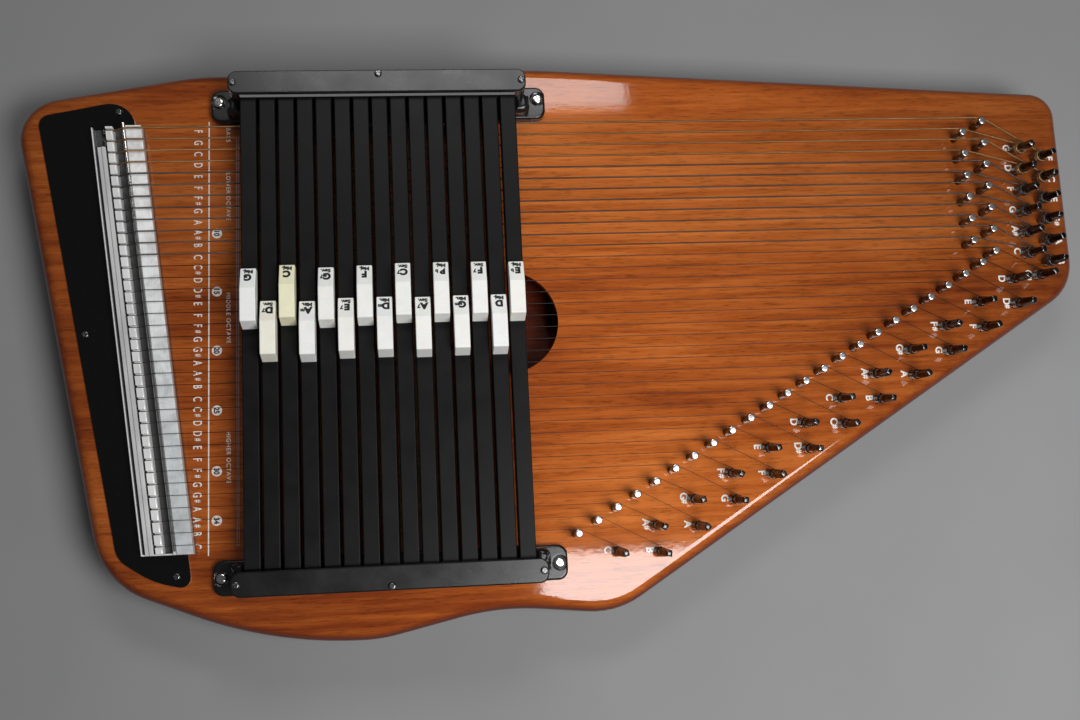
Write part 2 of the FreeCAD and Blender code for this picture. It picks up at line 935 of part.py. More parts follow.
def make_anchor_bar():
    low_x = dim("anchor_across")
    high_x = low_x + dim("anchor_width")
    floor = dim("channel_floor")
    top = dim("anchor_top")
    section = [
        (low_x, floor, 0.0),
        (high_x, floor, 0.0),
        (high_x, top, dim("anchor_edge_radius")),
        (low_x, top, 0.0),
    ]
    body = leaning_bar("anchor_bar", section, short=dim("end_lip_thickness") + dim("contact_gap"))
    slots = new_sketch(body, "anchor_slots", "XY_Plane", top)
    half = dim("slot_width") / 2
    beyond = dim("slot_width")
    for number in all_strings():
        drop = string_drop(number)
        ends = level_box(low_x - beyond, high_x + beyond, drop - half, drop + half)
        add_outline(slots, ends)
    add_pocket(body, slots, "dims.slot_depth")
    return keep(body)


def make_bridge():
    low = dim("bridge_rod_across") + dim("bridge_rod_radius") + dim("bridge_plate_gap")
    level = dim("bridge_level")
    top = level + dim("bridge_plate_thickness")
    high = dim("tail_width")
    plate = [(low, level, 0.0), (high, level, 0.0), (high, top, 0.5), (low, top, 0.3)]
    keep(leaning_bar("bridge_plate", plate))
    make_bridge_rod(level + dim("bridge_rib") + dim("bridge_rod_radius"))


def make_bridge_rod(level):
    """A round rod that stands out a little beyond the bass end."""
    rod = doc.addObject("Part::Cylinder", "bridge_rod")
    rod.setExpression("Radius", "dims.bridge_rod_radius")
    rod.setExpression("Height", "dims.tail_drop + dims.rod_overhang")
    along = Rotation(Vector(0, 0, 1), Vector(0, -1, 0))
    across = dim("bridge_rod_across")
    start = Vector(across, -along_at(across, -dim("rod_overhang")), level)
    rod.Placement = tail_placement().multiply(Placement(start, along))
    return keep(rod)


# The strip's feet stand in the gaps after these strings.
STRIP_FEET_AFTER = (3, 13, 24, 35)


def make_locking_strip():
    """A stepped strip over the ball ends, on four feet that stand between them."""
    low_x = dim("strip_across")
    high_x = low_x + dim("strip_width")
    step_x = low_x + dim("strip_ledge")
    level = dim("strip_level")
    top = level + dim("strip_height")
    ledge = level + dim("strip_height") / 2
    section = [
        (low_x, level, 0.0),
        (high_x, level, 0.0),
        (high_x, top, 0.3),
        (step_x, top, 0.3),
        (step_x, ledge, 0.0),
        (low_x, ledge, 0.0),
    ]
    body = leaning_bar("locking_strip", section, dim("strip_setback"))
    feet = new_sketch(body, "strip_feet", "XY_Plane", dim("channel_floor"))
    half = dim("strip_foot_width") / 2
    for number in STRIP_FEET_AFTER:
        middle = gap_drop(number)
        add_outline(feet, level_box(low_x, high_x, middle - half, middle + half))
    add_pad(body, feet, "dims.strip_level - dims.channel_floor + dims.strip_height / 4")
    return keep(body)


# ---------------------------------------------------------------------- strings

def ball_centre(number):
    return tail_point(dim("ball_across"), string_drop(number), dim("ball_level"))


def string_path(number):
    """Ball, slot, bridge rod, guide pin and the coil on the tuning pin, in that order."""
    radius = string_radius(number)
    clear = radius + dim("contact_gap")
    drop = string_drop(number)
    base = Vector(0, 0, top_level())

    slot_level = dim("anchor_top") - dim("slot_depth") + clear
    anchor_end = dim("anchor_across") + dim("anchor_width")
    slot_start = tail_point(dim("anchor_across") - dim("slot_lead"), drop, slot_level)
    slot_end = tail_point(anchor_end + dim("slot_lead"), drop, slot_level)
    ball = ball_centre(number)
    start = ball + (slot_start - ball).normalize() * (dim("ball_radius") + dim("contact_gap"))

    rod_level = dim("bridge_level") + dim("bridge_rib") + dim("bridge_rod_radius")
    wrap = dim("bridge_rod_radius") + clear
    rise = rod_level + wrap - slot_level
    run = dim("bridge_rod_across") - anchor_end - dim("slot_lead")
    turn = math.atan2(rise, run)
    crown = tail_point(
        dim("bridge_rod_across") - wrap * math.tan(turn / 2), drop, rod_level + wrap
    )

    guide = guide_place(number) + base + Vector(0, 0, dim("string_height"))
    coil = pin_point(number, dim("coil_level") + dim("coil_height") / 2) + base
    aim = Vector(coil.x - guide.x, coil.y - guide.y, 0).normalize()
    outward = Vector(-aim.y, aim.x, 0)
    bend = dim("guide_radius") + clear
    sideways = (Vector(0, 1, 0) + outward).normalize()
    corner = guide + sideways * (bend / sideways.dot(outward))
    touch = coil + outward * (dim("pin_radius") + 3 * radius + 2 * dim("contact_gap"))
    return [start, slot_start, slot_end, crown, corner, touch]


def tube(points, radius):
    path = Part.makePolygon(points)
    direction = points[1] - points[0]
    circle = Part.Wire(Part.makeCircle(radius, points[0], direction))
    shell = Part.BRepOffsetAPI.MakePipeShell(path)
    shell.setTransitionMode(1)
    shell.add(circle)
    shell.build()
    shell.makeSolid()
    return shell.shape()


def coil_sleeve(number):
    radius = string_radius(number)
    low = pin_point(number, dim("coil_level"))
    low.z += top_level()
    inner = dim("pin_radius") + dim("peg_gap")
    outer = inner + 2 * radius
    ring = Part.makeCylinder(outer, dim("coil_height"), low, pin_axis())
    return ring.cut(Part.makeCylinder(inner, dim("coil_height"), low, pin_axis()))


def ball_end(number):
    """A small barrel that lies along the channel."""
    direction = tail_placement().Rotation.multVec(Vector(0, -1, 0))
    start = ball_centre(number) - direction * (dim("ball_length") / 2)
    return Part.makeCylinder(dim("ball_radius"), dim("ball_length"), start, direction)


def make_strings():
    wound = count("wound_count")
    groups = {"wound_strings": [], "plain_strings": []}
    for number in all_strings():
        group = groups["wound_strings" if number <= wound else "plain_strings"]
        group.append(tube(string_path(number), string_radius(number)))
        group.append(coil_sleeve(number))
    for label, solids in groups.items():
        keep(code_shape(label, Part.makeCompound(solids)))
    balls = [ball_end(number) for number in all_strings()]
    keep(code_shape("string_ends", Part.makeCompound(balls)))


def make_guide_pins():
    pins = []
    for number in all_strings():
        place = guide_place(number)
        place.z = top_level() - dim("guide_depth")
        length = dim("guide_depth") + dim("guide_height")
        pin = Part.makeCylinder(dim("guide_radius"), length, place)
        rim = [edge for edge in pin.Edges if edge.BoundBox.ZMin > top_level() + 1.0]
        rim = [edge for edge in rim if edge.BoundBox.ZMax - edge.BoundBox.ZMin < TINY]
        pins.append(pin.makeChamfer(dim("guide_chamfer"), rim))
    return keep(code_shape("guide_pins", Part.makeCompound(pins)))


def tuning_pin_shape():
    """An upright pin, its base at the origin: round shank and tapered square head."""
    radius = dim("pin_radius")
    total = (dim("pin_depth") + dim("pin_height")) / pin_axis().z
    head = dim("pin_square_height")
    start = total - head
    side = dim("pin_square")
    low = square_wire(side + dim("pin_square_taper"), start)
    high = square_wire(side, total)
    end_radius = radius - dim("pin_end_taper")
    corners = Part.makeCone(radius, end_radius, head, Vector(0, 0, start))
    square_part = Part.makeLoft([low, high], True).common(corners)
    return Part.makeCylinder(radius, start).fuse(square_part)


def square_wire(side, level):
    half = side / 2
    corners = [(-half, -half), (half, -half), (half, half), (-half, half), (-half, -half)]
    return Part.makePolygon([Vector(x, y, level) for x, y in corners])


def make_tuning_pins():
    shape = tuning_pin_shape()
    pins = []
    turn_step = 23.0
    for number in all_strings():
        pin = shape.copy()
        pin.rotate(Vector(0, 0, 0), Vector(0, 0, 1), turn_step * number)
        base = pin_point(number, -dim("pin_depth")) + Vector(0, 0, top_level())
        pin.Placement = Placement(base, pin_turn()).multiply(pin.Placement)
        pins.append(pin)
    return keep(code_shape("tuning_pins", Part.makeCompound(pins)))


# ----------------------------------------------------------- chord bars, buttons

def bar_x(number):
    middle = (count("bar_count") + 1) / 2
    return dim("bars_x") + dim("bar_pitch") * (number - middle)


def button_y(number):
    row = dim("button_odd_y") if number % 2 else dim("button_even_y")
    return row + BUTTON_SHIFTS[number - 1]


def spring_offset():
    return dim("holder_offset") - dim("spring_y")


def make_bar(number):
    """The rail of one chord bar, its top at z = 0 and its middle at the origin."""
    body = new_body(f"bar_rail_{number:02d}")
    half = dim("bar_width") / 2
    height = dim("bar_height")
    edge = dim("bar_edge_radius")
    section = [(-half, -height, 0.0), (half, -height, 0.0), (half, 0.0, edge), (-half, 0.0, edge)]
    sketch = new_sketch(body, f"bar_section_{number:02d}", "XZ_Plane")
    add_outline(sketch, section)
    add_pad(body, sketch, "dims.bar_length", middle=True)

    steps = new_sketch(body, f"bar_steps_{number:02d}", "XY_Plane")
    for side in (1, -1):
        near = side * dim("bar_full_length") / 2
        far = side * (dim("bar_length") / 2 + 1.0)
        add_outline(steps, box_corners(-half - 1, min(near, far), half + 1, max(near, far)))
    add_pocket(body, steps, "dims.tongue_drop")

    peg = new_sketch(body, f"bar_peg_{number:02d}", "XY_Plane")
    peg_y = button_y(number) - dim("bars_y")
    add_circle(peg, 0, peg_y, dim("peg_radius") + dim("peg_gap"), "dims.peg_radius + dims.peg_gap")
    add_pocket(body, peg, "dims.peg_socket_depth")

    level = -height + dim("spring_seat")
    seats = new_sketch(body, f"bar_seats_{number:02d}", "XY_Plane", level)
    for side in (1, -1):
        radius = dim("spring_radius") + dim("spring_clearance")
        add_circle(seats, 0, side * spring_offset(), radius)
    add_pocket(body, seats, "dims.spring_seat")
    body.Placement = bar_placement(number)
    return body


def bar_placement(number):
    place = Vector(bar_x(number), dim("bars_y"), top_level() + dim("bar_top"))
    return Placement(place, Rotation())


def chord_tones(number):
    root, steps = CHORDS[number - 1]
    first = SCALE.index(root)
    return {SCALE[(first + step) % len(SCALE)] for step in steps}


def felt_outline(number):
    """Side view of a bar's felt: a backing strip with a pad over each damped string."""
    tones = chord_tones(number)
    pitch = dim("string_pitch")
    centre = dim("bars_y")
    root = -dim("bar_height")
    web = root - dim("felt_backing")
    tip = root - dim("felt_thickness")
    first = string_y(1) + pitch / 2 - centre
    last = string_y(count("string_count")) - pitch / 2 - centre
    points = [(last, root), (first, root)]
    level = None
    for string in all_strings():
        wanted = web if NOTES[string - 1] in tones else tip
        edge = string_y(string) + pitch / 2 - centre
        if level is None:
            points.append((edge, wanted))
        elif wanted != level:
            points.append((edge, level))
            points.append((edge, wanted))
        level = wanted
    points.append((last, level))
    return points


def make_felt(number):
    body = new_body(f"bar_felt_{number:02d}")
    sketch = new_sketch(body, f"felt_side_{number:02d}", "YZ_Plane")
    add_outline(sketch, sharp(felt_outline(number)))
    add_pad(body, sketch, "dims.felt_width", middle=True)
    body.Placement = bar_placement(number)
    return body


def make_button(number):
    """A push button: sloped name flag towards the bass side, flat crown, steep front."""
    body = new_body(f"button_{number:02d}")
    half = dim("button_length") / 2
    height = dim("button_height")
    front = -half + dim("button_front_run")
    crown_end = front + dim("button_crown_length")
    side = [
        (-half, 0.0, 0.0),
        (half, 0.0, 0.0),
        (half, dim("button_lip_height"), 0.6),
        (crown_end, height, 1.2),
        (front, height, 0.9),
    ]
    sketch = new_sketch(body, f"button_side_{number:02d}", "YZ_Plane")
    add_outline(sketch, side)
    pad = add_pad(body, sketch, "dims.button_width", middle=True)
    names = []
    for index, edge in enumerate(pad.Shape.Edges, start=1):
        box = edge.BoundBox
        if box.XMax - box.XMin < TINY and box.ZMax > 0.1:
            names.append(f"Edge{index}")
    add_edge_feature(body, "Fillet", pad, names, "dims.button_edge_radius")
    peg = new_sketch(body, f"button_peg_{number:02d}", "XY_Plane", -dim("peg_depth"))
    add_circle(peg, 0, 0, dim("peg_radius"), "dims.peg_radius")
    add_pad(body, peg, "dims.peg_depth")
    place = Vector(bar_x(number), button_y(number), top_level() + dim("bar_top"))
    body.Placement = Placement(place, Rotation())
    return body


def make_chord_bars():
    for number in range(1, count("bar_count") + 1):
        members = [make_bar(number), make_felt(number)]
        keep(compound(f"chord_bar_{number:02d}", members))
        keep(make_button(number))


# ----------------------------------------------------------------- bar holders

def holder_placement(side):
    """side is 1 for the bass end and -1 for the treble end, which is turned half round."""
    place = Vector(dim("bars_x"), dim("bars_y") + side * dim("holder_offset"), top_level())
    return Placement(place, Rotation(Vector(0, 0, 1), 0 if side > 0 else 180))


def make_holder(label, side):
    """A moulded comb: floor plate, dished ears, box with one slot for each bar."""
    body = new_body(f"{label}_comb")
    half_x = dim("holder_length") / 2
    high_y = dim("box_depth") / 2 - dim("holder_setback")
    low_y = high_y - dim("holder_depth")
    box_x = dim("box_length") / 2
    box_y = dim("box_depth") / 2
    wall = dim("wall_inner")

    floor = new_sketch(body, f"{label}_floor", "XY_Plane")
    add_outline(floor, box_corners(-half_x, low_y, half_x, high_y, dim("holder_corner")))
    pad = add_pad(body, floor, "dims.ear_height")
    rim = flat_edges(pad.Shape, dim("ear_height"))
    add_edge_feature(body, "Fillet", pad, rim, "dims.ear_edge_radius")

    blocks = new_sketch(body, f"{label}_blocks", "XY_Plane")
    inner = slots_half_width()
    outer = half_x - dim("ear_length")
    for end in (1, -1):
        add_outline(blocks, block_corners(end, inner, outer))
    pad = add_pad(body, blocks, "dims.end_block_height")
    rim = flat_edges(pad.Shape, dim("end_block_height"))
    add_edge_feature(body, "Fillet", pad, rim, "dims.end_block_round")

    box = new_sketch(body, f"{label}_box", "XY_Plane")
    add_outline(box, box_corners(-box_x, -box_y, box_x, box_y, dim("box_corner")))
    add_pad(body, box, "dims.box_top")

    slots = new_sketch(body, f"{label}_slots", "XY_Plane", dim("box_top"))
    width = dim("bar_width") + 2 * dim("slot_clearance")
    middle = (count("bar_count") + 1) / 2
    for number in range(1, count("bar_count") + 1):
        x = dim("bar_pitch") * (number - middle)
        add_outline(slots, box_corners(x - width / 2, low_y - 1.0, x + width / 2, wall))
    add_pocket(body, slots, "dims.box_top - dims.holder_floor")

    trough = new_sketch(body, f"{label}_trough", "XY_Plane", dim("box_top"))
    add_outline(trough, box_corners(-inner, -box_y - 1.0, inner, wall))
    add_pocket(body, trough, "dims.box_top - dims.pad_level")

    drill = new_sketch(body, f"{label}_drill", "XY_Plane", dim("box_top"))
    for place in local_cover_screws():
        radius = dim("small_shank_radius") + dim("peg_gap")
        add_circle(drill, place.x, place.y, radius)
    add_pocket(body, drill, "dims.small_shank_length")
    body.Placement = holder_placement(side)
    return keep(boolean("Cut", label, body, ear_cutters(label, side)))


def block_corners(end, inner, outer):
    """A block beside the end slot, rounded where it faces away from the bars."""
    reach = dim("end_block_reach")
    corner = dim("end_block_corner")
    corners = [
        (inner, -reach, 0.0),
        (outer, -reach, corner),
        (outer, 0.0, 0.0),
        (inner, 0.0, 0.0),
    ]
    return [(end * x, y, radius) for x, y, radius in corners]


def slots_half_width():
    middle = (count("bar_count") - 1) / 2
    return dim("bar_pitch") * middle + dim("bar_width") / 2 + dim("slot_clearance")


def ear_cutters(label, side):
    """The shallow round dish in each ear and the screw hole at its middle."""
    cutters = []
    seat = dim("ear_height") - dim("dish_depth")
    for end in (1, -1):
        x = end * EAR_SCREW_X
        y = EAR_SCREW_Y[side]
        radius = dim("dish_radius")
        cutters.append(Part.makeSphere(radius, Vector(x, y, seat + radius)))
        radius = dim("large_head_radius") + dim("head_clearance")
        cutters.append(Part.makeCylinder(radius, dim("ear_height"), Vector(x, y, seat)))
        radius = dim("large_shank_radius") + dim("peg_gap")
        start = Vector(x, y, -dim("head_clearance"))
        cutters.append(Part.makeCylinder(radius, dim("ear_height"), start))
    shape = Part.makeCompound(cutters)
    return code_shape(f"{label}_ear_cutters", shape, holder_placement(side))


def make_cover(label, side):
    body = new_body(label)
    half_x = dim("box_length") / 2
    half_y = dim("box_depth") / 2
    sketch = new_sketch(body, f"{label}_outline", "XY_Plane")
    add_outline(sketch, box_corners(-half_x, -half_y, half_x, half_y, dim("box_corner")))
    pad = add_pad(body, sketch, "dims.cover_thickness")
    names = flat_edges(pad.Shape, dim("cover_thickness"))
    add_edge_feature(body, "Chamfer", pad, names, "dims.cover_chamfer")
    drill = new_sketch(body, f"{label}_drill", "XY_Plane")
    for place in local_cover_screws():
        radius = dim("small_shank_radius") + dim("peg_gap")
        add_circle(drill, place.x, place.y, radius, "dims.small_shank_radius + dims.peg_gap")
    add_pocket(body, drill)
    placement = holder_placement(side)
    placement.Base.z += dim("box_top")
    body.Placement = placement
    return keep(body)


def make_cover_pads():
    """The soft strip under each cover that the bars rise against."""
    members = []
    for side in (1, -1):
        pad = doc.addObject("Part::Box", "cover_pad_bass" if side > 0 else "cover_pad_treble")
        gap = dim("pad_clearance")
        half = slots_half_width() - gap
        low_y = -dim("box_depth") / 2 + gap
        pad.Length = 2 * half
        pad.Width = dim("wall_inner") - gap - low_y
        pad.Height = dim("box_top") - dim("pad_level")
        start = Placement(Vector(-half, low_y, dim("pad_level")), Rotation())
        pad.Placement = holder_placement(side).multiply(start)
        members.append(pad)
    return keep(compound("cover_pads", members))


def make_springs():
    """One coil spring under each end of each bar, as the tube that its turns fill."""
    springs = []
    low = top_level() + dim("holder_floor")
    high = top_level() + dim("bar_top") - dim("bar_height") + dim("spring_seat")
    gap = dim("contact_gap")
    outer = dim("spring_radius")
    inner = outer - dim("spring_wire")
    for number in range(1, count("bar_count") + 1):
        for side in (1, -1):
            place = Vector(bar_x(number), dim("bars_y") + side * spring_offset(), low)
            length = high - low - gap
            sleeve = Part.makeCylinder(outer, length, place)
            springs.append(sleeve.cut(Part.makeCylinder(inner, length, place)))
    return keep(code_shape("return_springs", Part.makeCompound(springs)))


# ------------------------------------------------------------------------ build

def check_document():
    doc.recompute()
    for item in doc.Objects:
        if "Invalid" in item.State or "Error" in item.State:
            raise RuntimeError(f"{item.Name} failed: {item.State}")
    for node in nodes:
        if node.Shape.isNull() or not node.Shape.isValid():
            raise RuntimeError(f"{node.Label} has no valid shape")


def write_parts():
    os.makedirs(OUT_FOLDER, exist_ok=True)
    for node in nodes:
        node.Shape.exportStep(os.path.join(OUT_FOLDER, f"{node.Label}.step"))


def main():
    fill_sheet()
    holes = top_holes()
    low_holes = foot_holes()
    make_soundboard(holes)
    make_back(low_holes)
    make_frame(holes, low_holes)
    make_braces()
    make_feet()
    make_tail_cover()
    make_tail_channel()
    make_anchor_bar()
    make_bridge()
    make_locking_strip()
    make_strings()
    make_guide_pins()
    make_tuning_pins()
    make_chord_bars()
    for label, side in (("bass", 1), ("treble", -1)):
        make_holder(f"bar_holder_{label}", side)
        make_cover(f"bar_cover_{label}", side)
    make_cover_pads()
    make_screws()
    make_springs()
    check_document()
    write_parts()
    print(len(nodes), "sub-parts written")


main()
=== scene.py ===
import json
import math
import random

import bmesh
import bpy
from mathutils import Matrix, Vector


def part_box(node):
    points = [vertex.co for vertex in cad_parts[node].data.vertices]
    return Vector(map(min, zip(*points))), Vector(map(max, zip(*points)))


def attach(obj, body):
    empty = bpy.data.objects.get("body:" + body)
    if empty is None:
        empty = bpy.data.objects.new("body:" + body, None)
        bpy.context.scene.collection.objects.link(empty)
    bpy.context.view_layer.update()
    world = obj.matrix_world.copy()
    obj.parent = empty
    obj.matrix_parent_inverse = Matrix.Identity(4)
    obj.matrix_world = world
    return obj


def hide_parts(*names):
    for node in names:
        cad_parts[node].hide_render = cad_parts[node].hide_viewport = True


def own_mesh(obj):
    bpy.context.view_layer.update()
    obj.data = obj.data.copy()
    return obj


# A fifteen-bar chorded zither on a plain floor, seen from above. Lengths are in metres.

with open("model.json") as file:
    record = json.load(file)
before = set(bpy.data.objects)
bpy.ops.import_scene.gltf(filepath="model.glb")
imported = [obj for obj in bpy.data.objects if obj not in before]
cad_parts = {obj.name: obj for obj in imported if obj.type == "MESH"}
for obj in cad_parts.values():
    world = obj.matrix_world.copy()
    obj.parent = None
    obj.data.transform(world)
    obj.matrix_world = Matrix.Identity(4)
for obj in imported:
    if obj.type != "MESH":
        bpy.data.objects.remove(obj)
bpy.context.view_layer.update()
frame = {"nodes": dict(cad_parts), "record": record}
NODES = frame["nodes"]
MM = 0.001

ROOT = "root"
BARS = range(1, 16)
X_AXIS = Vector((1, 0, 0))
Y_AXIS = Vector((0, 1, 0))
Z_AXIS = Vector((0, 0, 1))
WELD_GAP = 0.001 * MM
FLAT_ANGLE = math.radians(0.5)
SHARP_ANGLE = math.radians(35)
TURNED_SHARP = 30
FORGED_SHARP = 26
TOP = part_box("soundboard")[1].z
SUNK = 1.0 * MM

# Strings, from the bass side.
NOTES = (
    "F G C D E F F# G A A# B C C# D D# E F F# G G# A A# B C C# D D# E F F# G G# A A# B C"
).split()
STRING_COUNT = len(NOTES)
BRONZE_COUNT = 4
WOUND_COUNT = 12
WOUND_DIAMETERS = (1.1 * MM, 0.75 * MM)
PLAIN_DIAMETERS = (0.42 * MM, 0.25 * MM)

# Tailpiece: distances along a string from its ball end.
TAIL_LEAN = math.radians(6.8)
SLOT_START = 1.6 * MM
SLOT_END = 6.0 * MM
SLOT_DEPTH = 2.9 * MM
SLOT_BEND = 0.5 * MM
ROD_AWAY = 11.8 * MM
ROD_RADIUS = 0.8 * MM
BRIDGE_REACH = 0.24

# Tuning pins and the coils round them.
PIN_AXIS = Vector(
    next(m for m in frame["record"]["mounts"] if m["name"] == "tuning_pin_heads")["axis"]
).normalized()
PIN_FLAT = 0.78
PIN_CORNERS = 48
PIN_TURN_STEP = math.radians(23)
COIL_LEVEL = 5.2 * MM
COIL_TURNS = 3.3
COIL_EXTRA = 1.6
COIL_PACKING = 1.06
COIL_TAIL = 0.6

SPRING_WIRE = 0.45 * MM
SPRING_TURNS = 8

# Chord names, from the tail end: root, raised mark and kind. Shifts and levels are from the
# middle of a button's slope.
CHORDS = (
    ("G", "", "Maj."),
    ("D", "7", "Sev."),
    ("C", "", "Maj."),
    ("A", "m", "Min."),
    ("G", "7", "Sev."),
    ("E", "7", "Sev."),
    ("F", "", "Maj."),
    ("D", "m", "Min."),
    ("C", "7", "Sev."),
    ("A", "7", "Sev."),
    ("Bb", "", "Maj."),
    ("G", "m", "Min."),
    ("F", "7", "Sev."),
    ("D", "", "Maj."),
    ("Eb", "", "Maj."),
)
AGED_BUTTONS = {2: 0.45, 3: 1.0}
LITTLE_AGE = 0.18
SLOPE_FACING = (0.85, 0.97)
SAME_FACING = 0.9995
ROOT_SHIFT = -0.7 * MM
MARK_SHIFT = 2.2 * MM
ROOT_UP = -0.3 * MM
ROOT_CAP = 3.85 * MM
MARK_CAP = 2.2 * MM
KIND_UP = -4.0 * MM
KIND_CAP = 2.1 * MM
KIND_WIDE = 1.1
ROOT_BOLD = 0.10
KIND_BOLD = 0.09

# Printed marks. The height of a capital is a share of the type size, and so is how far a
# sharp sign stands from its letter.
CAP_SHARE = 0.73
SHARP_PLACE = (0.5, 0.08)
SHARP_SIZE = 0.7
SHARP_ROOM = 0.2
NARROW = 0.95
PRINT_LIFT = 0.05 * MM
WORD_STRETCH = 1.35
SCALE_LEAN = 0.0055
SCALE_LINE_X = -199.5 * MM
SCALE_LINE_SPAN = (129.2 * MM, -111.2 * MM)
SCALE_LINE_WIDTH = 0.65 * MM
SCALE_LETTER_X = -205.2 * MM
SCALE_FIRST_Y = 123.6 * MM
SCALE_PITCH = 6.56 * MM
SCALE_CAP = 4.7 * MM
SCALE_NARROW = 0.6
SCALE_BOLD = 0.02
SCALE_DISC_X = -195.2 * MM
SCALE_DISC_RADIUS = 2.75 * MM
SCALE_DISCS = (10, 15, 20, 25, 30, 34)
NUMBER_CAP = 2.9 * MM
NUMBER_NARROW = 0.9
NUMBER_BOLD = 0.06
SCALE_WORD_X = -188.9 * MM
WORD_CAP = 2.3 * MM
WORD_BOLD = 0.01
SOFT_LINE_X = -184.1 * MM
SOFT_LINE_SPAN = (119.6 * MM, -106.7 * MM)
SOFT_LINE_GAP = 0.5 * MM
SOFT_LINE_WIDTH = 0.3 * MM
OCTAVES = (
    ("BASS", 125.5 * MM, 117.3 * MM),
    ("LOWER OCTAVE", 99.3 * MM, 72.2 * MM),
    ("MIDDLE OCTAVE", 30.8 * MM, 3.0 * MM),
    ("HIGHER OCTAVE", -45.7 * MM, -73.1 * MM),
)
PIN_CAP = 4.2 * MM
PIN_BOLD = 0.045
INNER_LETTER = (-3.5 * MM, 2.0 * MM)
OUTER_LETTER = (10.2 * MM, 0.0)
DIAGONAL_LETTER = (-4.1 * MM, 0.7 * MM)

# The wood's colour darkens with distance along X from here.
BRIGHT_MIDDLE = -0.04
SHADED_REACH = 0.33

# Studio.
FLOOR_SIDE = 6.0
KEY_PLACE = (0.303, -0.345, 0.9)
KEY_SIZE = (0.49, 0.46)
KEY_POWER = 9.6
FILL_PLACE = (-0.03, 0.635, 0.95)
FILL_SIZE = (0.48, 0.3)
FILL_POWER = 3.2
WORLD_LIGHT = 0.08
WORLD_COLOUR = (0.95, 0.97, 1.0, 1.0)

# Camera, measured from the outline's centre with height above the floor.
CAMERA_PLACE = Vector((-87.4, -121.6, 708.1)) * MM
CAMERA_AIM = Vector((0.1002, 0.1610, -0.9819))
CAMERA_UP = Vector((0.0316, 0.9858, 0.1649))
CAMERA_FIELD = math.radians(47.6)


# ------------------------------------------------------------------ reading the frame

def solids(node):
    """The separate solids of a CAD node as lists of points, in the model's own order."""
    mesh = bmesh.new()
    mesh.from_mesh(NODES[node].data)
    bmesh.ops.remove_doubles(mesh, verts=mesh.verts, dist=WELD_GAP)
    found = []
    seen = set()
    for first in mesh.verts:
        if first in seen:
            continue
        seen.add(first)
        stack = [first]
        points = []
        while stack:
            corner = stack.pop()
            points.append(corner.co.copy())
            for edge in corner.link_edges:
                other = edge.other_vert(corner)
                if other not in seen:
                    seen.add(other)
                    stack.append(other)
        found.append(points)
    mesh.free()
    return found


def span(points, direction):
    """Lowest and highest reach of some points along a direction."""
    reach = [point.dot(direction) for point in points]
    return min(reach), max(reach)


def span_size(points, direction):
    low, high = span(points, direction)
    return high - low


def middle(points):
    return Vector([sum(span(points, axis)) / 2 for axis in (X_AXIS, Y_AXIS, Z_AXIS)])


# ------------------------------------------------------------------------- materials

